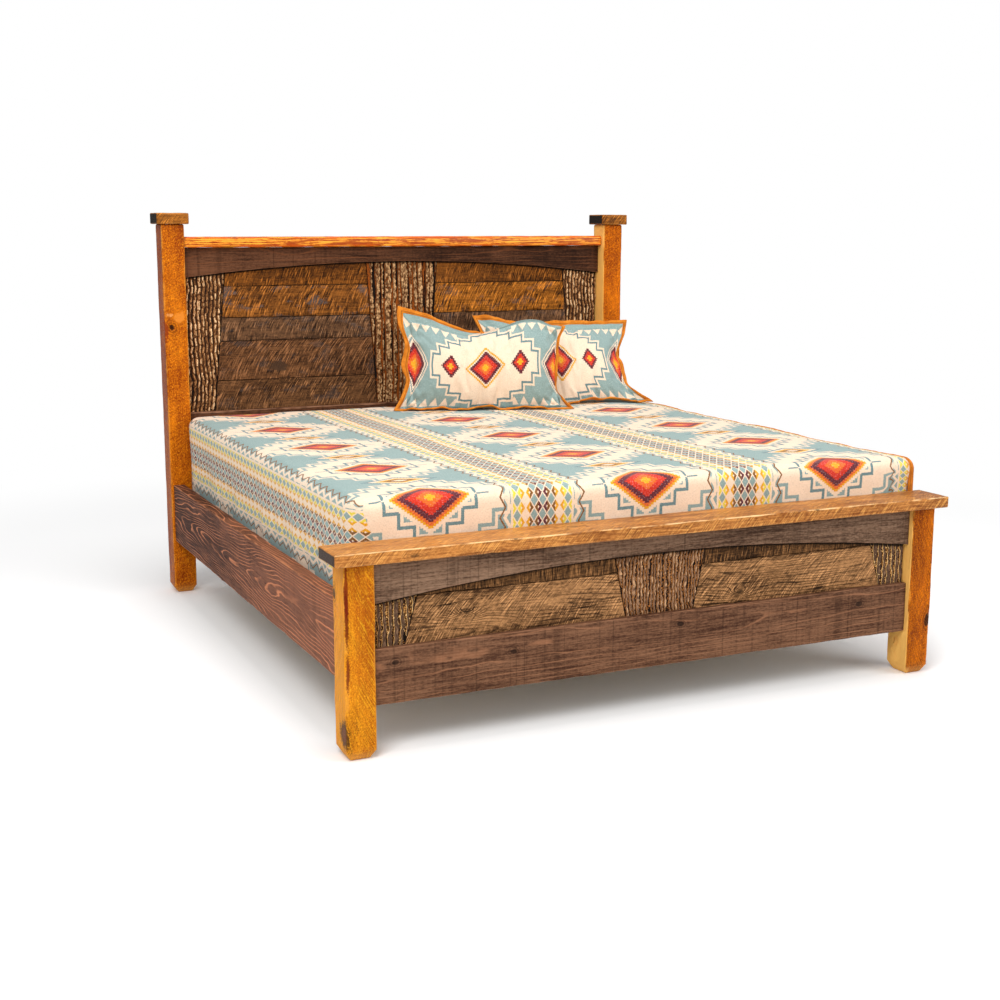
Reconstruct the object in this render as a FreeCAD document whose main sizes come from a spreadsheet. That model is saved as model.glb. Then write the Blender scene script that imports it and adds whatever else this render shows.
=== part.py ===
"""Rustic king bed: timber posts, arched aprons, plank and bark panels, rails, slats and bedding.

Millimetres. X runs across the bed (left is minus), Y from the foot to the head, Z up. The origin is on
the floor, in the middle of the bed's outer box. The sheet holds the driving sizes, and every other size
and place is an expression of them.
"""
import FreeCAD, Part
import math
import os

import Sketcher

SIZES = {
    # mattress and foundation
    "mattress_wide": 1930, "mattress_long": 2032, "mattress_thick": 254, "mattress_round": 38,
    "mattress_corner": 76, "foundation_thick": 203, "foundation_round": 20, "mattress_gap": 38,
    "foot_gap": 38, "head_gap": 13,
    # posts, their chamfered toes and the caps on the head posts
    "post_wide": 94, "post_deep": 101, "head_post_tall": 1524, "foot_post_tall": 584,
    "toe_tall": 30, "toe_inset": 18,
    "cap_thick": 45, "cap_lip_side": 18, "cap_lip_end": 15, "cap_round": 5,
    # side rails with their cleats, slats and centre legs
    "rail_thick": 47, "rail_tall": 237, "rail_lift": 225, "rail_inset": 10, "rail_round": 3,
    "cleat_wide": 32, "cleat_tall": 32, "cleat_lift": 3, "slat_thick": 19, "slat_wide": 89,
    "leg_wide": 38, "glide_radius": 14, "glide_thick": 8, "glide_travel": 12, "glide_spare": 2,
    "stem_radius": 4, "stem_long": 34, "insert_radius": 6, "insert_long": 20,
    # headboard
    "top_rail_drop": 50, "top_rail_tall": 44, "top_rail_set": 18, "top_rail_deep": 60, "top_rail_round": 9,
    "head_apron_set": 53, "head_apron_thick": 19, "head_apron_end": 123, "head_apron_mid": 63,
    "head_rail_top": 754, "head_rail_tall": 170, "head_rail_set": 45, "head_rail_thick": 27,
    "head_rail_round": 8, "head_panel_lap": 54,
    "head_side_bark_low": 117, "head_side_bark_top": 189, "head_key_bark_low": 236, "head_key_bark_top": 342,
    # footboard and the bench over it
    "foot_frame_set": 18, "foot_frame_thick": 21, "foot_apron_end": 126, "foot_apron_mid": 61,
    "foot_rail_lift": 155, "foot_rail_tall": 170, "foot_panel_lap": 125, "panel_top_gap": 4,
    "foot_side_bark_low": 70, "foot_side_bark_top": 177, "foot_key_bark_low": 194, "foot_key_bark_top": 357,
    "bench_thick": 38, "bench_lip_side": 33, "bench_lip_front": 25,
    "bench_lip_back": 23, "bench_round": 6,
    # panel boards
    "board_thick": 19, "board_gap": 1, "backing_thick": 9,
    # rail plates, screws and dowels
    "plate_tall": 150, "plate_wide": 20, "plate_thick": 3, "hook_thick": 3, "hook_tall": 26, "hook_reach": 14,
    "hook_spread": 36, "hook_play": 1, "hook_drop": 12, "plate_screw_spread": 66, "screw_radius": 2.5,
    "screw_head_radius": 4.5, "screw_head_tall": 3, "screw_long": 35, "cleat_screw_long": 60,
    "slat_screw_long": 40, "screw_edge": 150, "hole_play": 0.1,
    "dowel_radius": 5, "dowel_long": 64,
    # blanket, hung free of the mattress sides
    "cloth_thick": 6, "cloth_rest": 0.3, "side_slack": 14, "foot_slack": 3, "blanket_hang": 330,
    "blanket_head_short": 22, "fold_depth": 7, "fold_wide": 330, "flap_reach": 85,
    "flap_hang": 160, "hem_wide": 19, "hem_thick": 8,
    # flanged pillows
    "pillow_wide": 771, "pillow_tall": 420, "pillow_thick": 150, "pillow_flange": 48, "pillow_waist": 20,
    "flange_thick": 5, "pillow_hem_wide": 19, "pillow_hem_thick": 7,
    "front_pillow_across": 229, "front_pillow_from_head": 279,
    "back_pillow_across": 652, "back_pillow_from_head": 250,
}
ANGLES = {"front_pillow_yaw": 19, "front_pillow_lean": 16, "back_pillow_yaw": 11, "back_pillow_lean": 30}
SLAT_COUNT = 5
LEG_SLATS = {"foot": 2, "middle": 3, "head": 4}
CLEAT_SCREW_COUNT = 6
# How tall the panels' boards are, from the bottom up, as shares of the panel's height; the last board
# takes the rest
HEAD_PLANK_SHARES = (0.245, 0.226, 0.134, 0.18)
FOOT_PLANK_SHARES = (0.697,)
# Where a board's two dowels stand in its height, how deep a bore may go into a cap or shelf, and how
# long a dowel is in it; and the largest round on an edge as a share of the board
DOWEL_SHARE = 0.25
BORE_SHARE = 0.8
DOWEL_TOP_SHARE = 0.7
FILLET_SHARE = 0.45
# The folds' depth at half height, at the start of the top bend and at its end, as shares of the depth at
# the hem, and the foot's folds as a share of the side's
HALF_FOLD_SHARE = 0.7
BEND_FOLD_SHARE = 0.15
LEAST_FOLD_SHARE = 0.02
FOOT_FOLD_SHARE = 0.3
# A pillow from its left to its right side: where its cross-sections lie, how full each one is, and how
# far its upper and lower edges are drawn in there
PILLOW_PLACE_SHARES = (-1, -0.8, -0.45, 0, 0.45, 0.8, 1)
PILLOW_CROWN_SHARES = (0.06, 0.5, 0.88, 1, 0.88, 0.5, 0.06)
PILLOW_WAIST_SHARES = (0, 0.3, 0.75, 1, 0.75, 0.3, 0)
# How close to parallel an edge has to be to count as running along an axis
PARALLEL = 0.999

# Places that several pieces share, as expressions of the sheet
SPAN = "(Bed.mattress_long + Bed.foot_gap + Bed.head_gap)"
SHIFT = "((Bed.bench_lip_front - Bed.cap_lip_end) / 2)"
FOOT_FACE = f"({SHIFT} - {SPAN} / 2 - Bed.post_deep)"
FOOT_INNER = f"({SHIFT} - {SPAN} / 2)"
HEAD_FACE = f"({SHIFT} + {SPAN} / 2)"
BED_HALF = "(Bed.mattress_wide / 2 + Bed.mattress_gap + Bed.rail_thick + Bed.rail_inset)"
CLEAR_HALF = f"({BED_HALF} - Bed.post_wide)"
RAIL_MIDDLE = f"({BED_HALF} - Bed.rail_inset - Bed.rail_thick / 2)"
RAIL_INNER = "(Bed.mattress_wide / 2 + Bed.mattress_gap)"
RAIL_CENTER = "(Bed.rail_lift + Bed.rail_tall / 2)"
DECK = "(Bed.rail_lift + Bed.cleat_lift + Bed.cleat_tall)"
SLAT_TOP = f"({DECK} + Bed.slat_thick)"
MATTRESS_LOW = f"({SLAT_TOP} + Bed.foundation_thick)"
MATTRESS_TOP = f"({MATTRESS_LOW} + Bed.mattress_thick)"
MATTRESS_FOOT = f"({FOOT_INNER} + Bed.foot_gap)"
MATTRESS_HEAD = f"({HEAD_FACE} - Bed.head_gap)"
TOP_RAIL_LOW = "(Bed.head_post_tall - Bed.top_rail_drop - Bed.top_rail_tall)"
HEAD_PANEL_Y = f"({HEAD_FACE} + Bed.head_apron_set + Bed.head_apron_thick)"
FOOT_PANEL_Y = f"({FOOT_FACE} + Bed.foot_frame_set + Bed.foot_frame_thick)"
BLANKET_TOP = f"({MATTRESS_TOP} + Bed.cloth_rest + Bed.cloth_thick)"
BLANKET_FOOT = f"({MATTRESS_FOOT} - Bed.foot_slack - Bed.cloth_thick)"
BLANKET_HEAD = f"({MATTRESS_HEAD} - Bed.blanket_head_short)"
FLAP_TIP = "(Bed.mattress_wide / 2 + Bed.flap_reach)"
FLAP_LOW = f"({BLANKET_TOP} - Bed.mattress_round - Bed.flap_hang)"
LEG_LOW = "(Bed.glide_thick + Bed.glide_travel + Bed.glide_spare)"
SIDES = {"left": -1, "right": 1}

doc = FreeCAD.newDocument("bed")
sheet = doc.addObject("Spreadsheet::Sheet", "Bed")
for row, (alias, number) in enumerate({**SIZES, **ANGLES}.items(), start=1):
    sheet.set(f"A{row}", alias)
    sheet.set(f"B{row}", str(number))
    sheet.setAlias(f"B{row}", alias)
doc.recompute()

pieces = []


def value(expression):
    """The number that an expression of the sheet gives now."""
    return float(sheet.evalExpression(str(expression)))


def place(piece, x, y, z):
    """Bind a piece's position to three expressions."""
    for axis, expression in zip("xyz", (x, y, z)):
        piece.setExpression(f"Placement.Base.{axis}", str(expression))


def board(label, corner, size):
    """A plain sawn board: a box with bound sides at a bound corner."""
    box = doc.addObject("Part::Box", label)
    box.Label = label
    for side, expression in zip(("Length", "Width", "Height"), size):
        box.setExpression(side, expression)
    place(box, *corner)
    pieces.append(box)
    return box


def new_body(label, corner):
    """An empty PartDesign body at a bound place."""
    body = doc.addObject("PartDesign::Body", label)
    body.Label = label
    place(body, *corner)
    pieces.append(body)
    return body


def new_sketch(body, role, offset="0"):
    """A sketch on one of the body's own origin planes, moved along its normal."""
    sketch = body.newObject("Sketcher::SketchObject", f"{body.Name}_sketch")
    plane = next(item for item in body.Origin.OriginFeatures if item.Role == role)
    sketch.AttachmentSupport = [(plane, "")]
    sketch.MapMode = "FlatFace"
    sketch.setExpression("AttachmentOffset.Base.z", str(offset))
    return sketch


def pin_point(sketch, edge, point, spot, across, up):
    """Bind one point of the sketch to its distances from the origin."""
    for kind, number, expression in (("DistanceX", spot.x, across), ("DistanceY", spot.y, up)):
        index = sketch.addConstraint(Sketcher.Constraint(kind, -1, 1, edge, point, number))
        sketch.setExpression(f"Constraints[{index}]", str(expression))


def outline(sketch, corners, arch_rise=None):
    """A closed outline through bound corners. With arch_rise its first edge is an arch that runs
    from the right corner to the left one and rises by that much."""
    spots = [FreeCAD.Vector(value(across), value(up), 0) for across, up in corners]
    count = len(spots)
    for number, spot in enumerate(spots):
        following = spots[(number + 1) % count]
        if number == 0 and arch_rise:
            half = f"(({corners[0][0]}) - ({corners[1][0]})) / 2"
            radius = f"((({half})^2 + ({arch_rise})^2) / (2 * ({arch_rise})))"
            center_up = f"({corners[0][1]}) + ({arch_rise}) - {radius}"
            center = FreeCAD.Vector((spot.x + following.x) / 2, value(center_up), 0)
            circle = Part.Circle(center, FreeCAD.Vector(0, 0, 1), value(radius))
            angles = [math.atan2(end.y - center.y, end.x - center.x) for end in (spot, following)]
            sketch.addGeometry(Part.ArcOfCircle(circle, *angles), False)
        else:
            sketch.addGeometry(Part.LineSegment(spot, following), False)
    for number in range(count):
        sketch.addConstraint(Sketcher.Constraint("Coincident", number, 2, (number + 1) % count, 1))
    for number, (across, up) in enumerate(corners):
        pin_point(sketch, number, 1, spots[number], across, up)
    if arch_rise:
        index = sketch.addConstraint(Sketcher.Constraint("DistanceY", -1, 1, 0, 3, value(center_up)))
        sketch.setExpression(f"Constraints[{index}]", center_up)


def rectangle(left, low, right, high):
    """The corners of an upright rectangle."""
    return [(left, low), (right, low), (right, high), (left, high)]


def pad(body, sketch, length, backward=False):
    """Pad a sketch by a bound length and compute it."""
    feature = body.newObject("PartDesign::Pad", f"{body.Name}_pad")
    feature.Profile = sketch
    feature.setExpression("Length", str(length))
    feature.Reversed = backward
    doc.recompute()
    return feature


def cut(body, sketch, depth, backward=False):
    """Pocket a sketch by a bound depth, and make sure that it removes material."""
    before = body.Shape.Volume
    feature = body.newObject("PartDesign::Pocket", f"{body.Name}_pocket")
    feature.Profile = sketch
    feature.setExpression("Length", str(depth))
    feature.Reversed = backward
    doc.recompute()
    if body.Shape.Volume >= before:
        raise RuntimeError(f"a pocket of {body.Label} removes nothing")
    return feature


def drill(body, role, offset, centers, radius, depth, backward=False):
    """Round holes of one radius and depth, from a plane into the body."""
    sketch = new_sketch(body, role, offset)
    for number, (across, up) in enumerate(centers):
        spot = FreeCAD.Vector(value(across), value(up), 0)
        sketch.addGeometry(Part.Circle(spot, FreeCAD.Vector(0, 0, 1), value(radius)), False)
        pin_point(sketch, number, 3, spot, across, up)
        index = sketch.addConstraint(Sketcher.Constraint("Radius", number, value(radius)))
        sketch.setExpression(f"Constraints[{index}]", str(radius))
    return cut(body, sketch, depth, backward)


def soften(body, feature, radius, direction):
    """Round the long edges that run along one axis."""
    names = []
    for number, edge in enumerate(feature.Shape.Edges, start=1):
        run = edge.Vertexes[-1].Point - edge.Vertexes[0].Point
        if run.Length and abs(run.normalize().dot(direction)) > PARALLEL:
            names.append(f"Edge{number}")
    fillet = body.newObject("PartDesign::Fillet", f"{body.Name}_fillet")
    fillet.Base = (feature, names)
    fillet.setExpression("Radius", str(radius))
    doc.recompute()
    return fillet


def solid_group(label, shapes):
    """Identical small pieces as one group of separate solids."""
    group = doc.addObject("Part::Feature", label)
    group.Label = label
    group.Shape = Part.makeCompound(shapes)
    pieces.append(group)
    return group


def gather(label, members):
    """Alike pieces as one node: a compound that keeps them as separate solids."""
    for member in members:
        pieces.remove(member)
    group = doc.addObject("Part::Compound", label)
    group.Label = label
    group.Links = members
    doc.recompute()
    pieces.append(group)


ALONG_X = FreeCAD.Vector(1, 0, 0)
ALONG_Y = FreeCAD.Vector(0, 1, 0)
ALONG_Z = FreeCAD.Vector(0, 0, 1)
DOWEL_HOLE = "(Bed.dowel_radius + Bed.hole_play)"
DOWEL_DEPTH = "(Bed.dowel_long / 2 + Bed.hole_play)"


def dowel_heights(low, tall):
    """Two heights, evenly set in a board that stands from low."""
    return [f"({low}) + ({tall}) * {share}" for share in (DOWEL_SHARE, 1 - DOWEL_SHARE)]


# Head frame boards: the height of each and the depth of its middle from the post's front face
HEAD_RAIL_LOW = "(Bed.head_rail_top - Bed.head_rail_tall)"
HEAD_JOINTS = [
    ("(Bed.top_rail_set + Bed.top_rail_deep / 2)", dowel_heights(TOP_RAIL_LOW, "Bed.top_rail_tall")),
    ("(Bed.head_rail_set + Bed.head_rail_thick / 2)", dowel_heights(HEAD_RAIL_LOW, "Bed.head_rail_tall")),
]
FOOT_MIDDLE = "(Bed.foot_frame_set + Bed.foot_frame_thick / 2)"
FOOT_APRON_LOW = "(Bed.foot_post_tall - Bed.foot_apron_end)"
FOOT_JOINTS = [
    (FOOT_MIDDLE, dowel_heights(FOOT_APRON_LOW, "Bed.foot_apron_end")),
    (FOOT_MIDDLE, dowel_heights("Bed.foot_rail_lift", "Bed.foot_rail_tall")),
]


def post(label, side, face, tall, joints, plate_behind):
    """A square post on a chamfered toe, bored for the frame's dowels and let in for its slotted plate.

    Its own frame has x 0 in the middle, y 0 on the front face and z 0 on the floor."""
    body = new_body(label, (f"{side} * ({BED_HALF} - Bed.post_wide / 2)", face, "0"))
    half = "Bed.post_wide / 2"
    toe = new_sketch(body, "XY_Plane")
    outline(toe, rectangle(f"Bed.toe_inset - {half}", "Bed.toe_inset", f"{half} - Bed.toe_inset",
                           "Bed.post_deep - Bed.toe_inset"))
    ankle = new_sketch(body, "XY_Plane", "Bed.toe_tall")
    outline(ankle, rectangle(f"-{half}", "0", half, "Bed.post_deep"))
    doc.recompute()
    loft = body.newObject("PartDesign::AdditiveLoft", f"{body.Name}_toe")
    loft.Profile = toe
    loft.Sections = [ankle]
    loft.Ruled = True
    doc.recompute()
    pad(body, ankle, f"({tall}) - Bed.toe_tall")
    centers = [(depth, height) for depth, heights in joints for height in heights]
    drill(body, "YZ_Plane", f"{-side} * {half}", centers, DOWEL_HOLE, DOWEL_DEPTH, backward=side > 0)
    drill(body, "XY_Plane", tall, [("0", "Bed.post_deep / 2")], DOWEL_HOLE, DOWEL_DEPTH)
    rail_x = f"{side} * ({half} - Bed.rail_inset - Bed.rail_thick / 2)"
    plane_y = "-Bed.post_deep" if plate_behind else "0"
    recess = new_sketch(body, "XZ_Plane", plane_y)
    outline(recess, rectangle(f"{rail_x} - Bed.plate_wide / 2 - Bed.hole_play",
                              f"{RAIL_CENTER} - Bed.plate_tall / 2 - Bed.hole_play",
                              f"{rail_x} + Bed.plate_wide / 2 + Bed.hole_play",
                              f"{RAIL_CENTER} + Bed.plate_tall / 2 + Bed.hole_play"))
    cut(body, recess, "Bed.plate_thick + Bed.hole_play", backward=plate_behind)
    for up in (-1, 1):
        pocket = new_sketch(body, "XZ_Plane", plane_y)
        middle = f"({RAIL_CENTER} + {up} * Bed.hook_spread)"
        outline(pocket, rectangle(f"{rail_x} - Bed.hook_thick / 2 - Bed.hook_play",
                                  f"{middle} - Bed.hook_tall / 2 - Bed.hook_drop - Bed.hook_play",
                                  f"{rail_x} + Bed.hook_thick / 2 + Bed.hook_play",
                                  f"{middle} + Bed.hook_tall / 2 + Bed.hook_play"))
        cut(body, pocket, "Bed.hook_reach + Bed.hook_play", backward=plate_behind)
    return body


for name, side in SIDES.items():
    post(f"head_post_{name}", side, HEAD_FACE, "Bed.head_post_tall", HEAD_JOINTS, plate_behind=False)
    post(f"foot_post_{name}", side, FOOT_FACE, "Bed.foot_post_tall", FOOT_JOINTS, plate_behind=True)


def head_cap(name, side):
    """A block cap with rounded corners, bored from below for its dowel."""
    body = new_body(f"head_post_cap_{name}", (f"{side} * ({BED_HALF} - Bed.post_wide / 2)", HEAD_FACE,
                                              "Bed.head_post_tall"))
    reach = "(Bed.post_wide / 2 + Bed.cap_lip_side)"
    base = new_sketch(body, "XY_Plane")
    outline(base, rectangle(f"-{reach}", "-Bed.cap_lip_end", reach, "Bed.post_deep + Bed.cap_lip_end"))
    block = pad(body, base, "Bed.cap_thick")
    soften(body, block, "Bed.cap_round", ALONG_Z)
    drill(body, "XY_Plane", "0", [("0", "Bed.post_deep / 2")], DOWEL_HOLE,
          f"min({DOWEL_DEPTH}; Bed.cap_thick * {BORE_SHARE})", backward=True)


for name, side in SIDES.items():
    head_cap(name, side)


def cross_board(label, face, depth, low, thick, tall, end_joints, round_radius=None):
    """A straight board between two posts, with dowel holes in its ends."""
    body = new_body(label, ("0", f"{face} + {depth}", low))
    front = new_sketch(body, "XZ_Plane")
    outline(front, rectangle(f"-{CLEAR_HALF}", "0", CLEAR_HALF, tall))
    solid = pad(body, front, thick, backward=True)
    if round_radius:
        soften(body, solid, f"min({round_radius}; {thick} * {FILLET_SHARE})", ALONG_X)
    for side in (-1, 1):
        drill(body, "YZ_Plane", f"{side} * {CLEAR_HALF}", end_joints, DOWEL_HOLE, DOWEL_DEPTH,
              backward=side < 0)
    return body


def end_holes(thick, tall):
    """The two dowel holes in the end of a board."""
    return [(f"({thick}) / 2", height) for height in dowel_heights("0", tall)]


cross_board("head_top_rail", HEAD_FACE, "Bed.top_rail_set", TOP_RAIL_LOW, "Bed.top_rail_deep",
            "Bed.top_rail_tall", end_holes("Bed.top_rail_deep", "Bed.top_rail_tall"), "Bed.top_rail_round")
cross_board("head_lower_rail", HEAD_FACE, "Bed.head_rail_set", HEAD_RAIL_LOW, "Bed.head_rail_thick",
            "Bed.head_rail_tall", end_holes("Bed.head_rail_thick", "Bed.head_rail_tall"),
            "Bed.head_rail_round")
cross_board("foot_lower_rail", FOOT_FACE, "Bed.foot_frame_set", "Bed.foot_rail_lift",
            "Bed.foot_frame_thick", "Bed.foot_rail_tall",
            end_holes("Bed.foot_frame_thick", "Bed.foot_rail_tall"))


def apron(label, face, depth, top, thick, end_tall, mid_tall, end_joints=()):
    """A board with an arched underside: its ends are taller than its middle."""
    body = new_body(label, ("0", f"{face} + {depth}", f"{top} - {end_tall}"))
    front = new_sketch(body, "XZ_Plane")
    corners = [(CLEAR_HALF, "0"), (f"-{CLEAR_HALF}", "0"), (f"-{CLEAR_HALF}", end_tall),
               (CLEAR_HALF, end_tall)]
    outline(front, corners, arch_rise=f"({end_tall} - {mid_tall})")
    pad(body, front, thick, backward=True)
    for side in (-1, 1) if end_joints else ():
        drill(body, "YZ_Plane", f"{side} * {CLEAR_HALF}", end_joints, DOWEL_HOLE, DOWEL_DEPTH,
              backward=side < 0)


apron("head_apron", HEAD_FACE, "Bed.head_apron_set", TOP_RAIL_LOW, "Bed.head_apron_thick",
      "Bed.head_apron_end", "Bed.head_apron_mid")
apron("foot_apron", FOOT_FACE, "Bed.foot_frame_set", "Bed.foot_post_tall", "Bed.foot_frame_thick",
      "Bed.foot_apron_end", "Bed.foot_apron_mid", end_holes("Bed.foot_frame_thick", "Bed.foot_apron_end"))


def bench():
    """The plank shelf over the footboard, bored from below for the dowels of the foot posts."""
    body = new_body("bench_top", ("0", f"{FOOT_FACE} - Bed.bench_lip_front", "Bed.foot_post_tall"))
    reach = f"({BED_HALF} + Bed.bench_lip_side)"
    base = new_sketch(body, "XY_Plane")
    outline(base, rectangle(f"-{reach}", "0", reach,
                            "Bed.bench_lip_front + Bed.post_deep + Bed.bench_lip_back"))
    plank = pad(body, base, "Bed.bench_thick")
    soften(body, plank, "Bed.bench_round", ALONG_X)
    centers = [(f"{side} * ({BED_HALF} - Bed.post_wide / 2)", "Bed.bench_lip_front + Bed.post_deep / 2")
               for side in (-1, 1)]
    drill(body, "XY_Plane", "0", centers, DOWEL_HOLE, f"min({DOWEL_DEPTH}; Bed.bench_thick * {BORE_SHARE})",
          backward=True)


bench()


def panel(prefix, panel_y, low, top, side_bark, key_bark, seams):
    """Bark panels beside the posts and in the middle, with boards between their slanted edges.

    low and top are the ends of the panel, side_bark and key_bark the widths at both, and seams the
    shares of its height that the boards take from the bottom up, all but the last one."""
    tall = f"({top} - {low})"

    def key_edge(height):
        return f"(({key_bark[0]}) / 2 + (({key_bark[1]}) - ({key_bark[0]})) / 2 * ({height}) / {tall})"

    def side_edge(height):
        grown = f"(({side_bark[1]}) - ({side_bark[0]})) * ({height}) / {tall}"
        return f"({CLEAR_HALF} - ({side_bark[0]}) - {grown})"

    def slab(label, corners):
        body = new_body(label, ("0", panel_y, low))
        front = new_sketch(body, "XZ_Plane")
        outline(front, corners)
        pad(body, front, "Bed.board_thick", backward=True)

    slab(f"{prefix}_bark_center", [(f"-{key_edge('0')}", "0"), (key_edge("0"), "0"),
                                   (key_edge(tall), tall), (f"-{key_edge(tall)}", tall)])
    heights = ["0"]
    for share in seams:
        heights.append(f"({heights[-1]} + {share} * {tall})")
    heights.append(tall)
    for name, side in SIDES.items():
        slab(f"{prefix}_bark_{name}", [(f"{side} * {side_edge('0')}", "0"),
                                       (f"{side} * {CLEAR_HALF}", "0"), (f"{side} * {CLEAR_HALF}", tall),
                                       (f"{side} * {side_edge(tall)}", tall)])
        for number in range(len(heights) - 1):
            start = f"({heights[number]} + Bed.board_gap / 2)"
            end = f"({heights[number + 1]} - Bed.board_gap / 2)"
            slab(f"{prefix}_plank_{name}_{number + 1}",
                 [(f"{side} * ({key_edge(start)} + Bed.board_gap)", start),
                  (f"{side} * ({side_edge(start)} - Bed.board_gap)", start),
                  (f"{side} * ({side_edge(end)} - Bed.board_gap)", end),
                  (f"{side} * ({key_edge(end)} + Bed.board_gap)", end)])
    board(f"{prefix}_backing", (f"-{CLEAR_HALF}", f"{panel_y} + Bed.board_thick", low),
          (f"2 * {CLEAR_HALF}", "Bed.backing_thick", tall))


panel("head", HEAD_PANEL_Y, "(Bed.head_rail_top - Bed.head_panel_lap)",
      f"({TOP_RAIL_LOW} - Bed.panel_top_gap)", ("Bed.head_side_bark_low", "Bed.head_side_bark_top"),
      ("Bed.head_key_bark_low", "Bed.head_key_bark_top"), HEAD_PLANK_SHARES)
panel("foot", FOOT_PANEL_Y, "(Bed.foot_rail_lift + Bed.foot_rail_tall - Bed.foot_panel_lap)",
      "(Bed.foot_post_tall - Bed.panel_top_gap)", ("Bed.foot_side_bark_low", "Bed.foot_side_bark_top"),
      ("Bed.foot_key_bark_low", "Bed.foot_key_bark_top"), FOOT_PLANK_SHARES)


def side_rail(name, side):
    """A heavy side rail, let in at both ends for its hook plates."""
    body = new_body(f"side_rail_{name}", (f"{side} * {RAIL_MIDDLE}", FOOT_INNER, "Bed.rail_lift"))
    base = new_sketch(body, "XY_Plane")
    outline(base, rectangle("-Bed.rail_thick / 2", "0", "Bed.rail_thick / 2", SPAN))
    timber = pad(body, base, "Bed.rail_tall")
    soften(body, timber, "Bed.rail_round", ALONG_Y)
    for end in (0, 1):
        recess = new_sketch(body, "XZ_Plane", f"-{end} * {SPAN}")
        outline(recess, rectangle("-Bed.plate_wide / 2 - Bed.hole_play",
                                  "Bed.rail_tall / 2 - Bed.plate_tall / 2 - Bed.hole_play",
                                  "Bed.plate_wide / 2 + Bed.hole_play",
                                  "Bed.rail_tall / 2 + Bed.plate_tall / 2 + Bed.hole_play"))
        cut(body, recess, "Bed.plate_thick + Bed.hole_play", backward=end == 1)


for name, side in SIDES.items():
    side_rail(name, side)
    board(f"cleat_{name}", (f"{side} * ({RAIL_INNER} - Bed.cleat_wide / 2) - Bed.cleat_wide / 2",
                            FOOT_INNER, "Bed.rail_lift + Bed.cleat_lift"),
          ("Bed.cleat_wide", SPAN, "Bed.cleat_tall"))


def slat_middle(number):
    """Where slat number lies along the bed, counted from the foot."""
    return f"({FOOT_INNER} + {SPAN} * (2 * {number} - 1) / (2 * {SLAT_COUNT}))"


gather("slats", [
    board(f"slat_{number}",
          (f"-{RAIL_INNER} + Bed.hole_play", f"{slat_middle(number)} - Bed.slat_wide / 2", DECK),
          (f"2 * ({RAIL_INNER} - Bed.hole_play)", "Bed.slat_wide", "Bed.slat_thick"))
    for number in range(1, SLAT_COUNT + 1)])


def leg(name, slat_number):
    """A centre leg under a slat, bored at its foot for an insert and the glide's stem."""
    body = new_body(f"leg_{name}", ("0", slat_middle(slat_number), LEG_LOW))
    base = new_sketch(body, "XY_Plane")
    outline(base, rectangle("-Bed.leg_wide / 2", "-Bed.leg_wide / 2", "Bed.leg_wide / 2",
                            "Bed.leg_wide / 2"))
    pad(body, base, f"{DECK} - {LEG_LOW}")
    drill(body, "XY_Plane", "0", [("0", "0")], "Bed.insert_radius + Bed.hole_play", "Bed.insert_long",
          backward=True)
    drill(body, "XY_Plane", "0", [("0", "0")], "Bed.stem_radius + Bed.hole_play",
          "Bed.stem_long + Bed.glide_travel", backward=True)
    return body


def glide(name, slat_number):
    """A levelling foot: a disc on the floor with a stem up into the leg's insert."""
    body = new_body(f"glide_{name}", ("0", slat_middle(slat_number), "0"))
    profile = new_sketch(body, "XZ_Plane")
    stem_top = f"({LEG_LOW} + Bed.stem_long - Bed.glide_travel)"
    outline(profile, [("0", "0"), ("Bed.glide_radius", "0"), ("Bed.glide_radius", "Bed.glide_thick"),
                      ("Bed.stem_radius", "Bed.glide_thick"), ("Bed.stem_radius", stem_top),
                      ("0", stem_top)])
    turned = body.newObject("PartDesign::Revolution", f"{body.Name}_turned")
    turned.Profile = profile
    turned.ReferenceAxis = (profile, ["V_Axis"])
    doc.recompute()


for name, slat_number in LEG_SLATS.items():
    glide(name, slat_number)
gather("center_legs", [leg(name, slat_number) for name, slat_number in LEG_SLATS.items()])


def tube(outer, inner, tall, spot):
    """A plain tube standing on a spot."""
    shell = Part.makeCylinder(outer, tall, spot)
    return shell.cut(Part.makeCylinder(inner, tall, spot))


solid_group("leg_inserts", [
    tube(value("Bed.insert_radius"), value("Bed.stem_radius + Bed.hole_play / 2"), value("Bed.insert_long"),
         FreeCAD.Vector(0, value(slat_middle(number)), value(LEG_LOW)))
    for number in LEG_SLATS.values()])


def cylinder_group(label, radius, long, starts):
    """Dowels of one size, each from a start along a direction."""
    solid_group(label, [Part.makeCylinder(value(radius), long, start, direction)
                        for start, direction in starts])


def rail_dowels(face, joints):
    """The start and direction of the dowels between the posts and a frame's boards."""
    half_long = value("Bed.dowel_long / 2")
    return [(FreeCAD.Vector(side * value(CLEAR_HALF) - half_long, value(f"{face} + {depth}"), value(height)),
             ALONG_X)
            for side in (-1, 1) for depth, heights in joints for height in heights]


def post_top_dowels(face, top):
    """The start and direction of the dowels that stand in the tops of two posts."""
    across = value(f"{BED_HALF} - Bed.post_wide / 2")
    low = value(top) - value("Bed.dowel_long / 2")
    return [(FreeCAD.Vector(side * across, value(f"{face} + Bed.post_deep / 2"), low), ALONG_Z)
            for side in (-1, 1)]


cylinder_group("frame_dowels", "Bed.dowel_radius", value("Bed.dowel_long"),
               rail_dowels(HEAD_FACE, HEAD_JOINTS) + rail_dowels(FOOT_FACE, FOOT_JOINTS))
cylinder_group("post_top_dowels", "Bed.dowel_radius",
               value(f"Bed.dowel_long / 2 + min(Bed.bench_thick; Bed.cap_thick) * {DOWEL_TOP_SHARE}"),
               post_top_dowels(FOOT_FACE, "Bed.foot_post_tall")
               + post_top_dowels(HEAD_FACE, "Bed.head_post_tall"))


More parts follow.
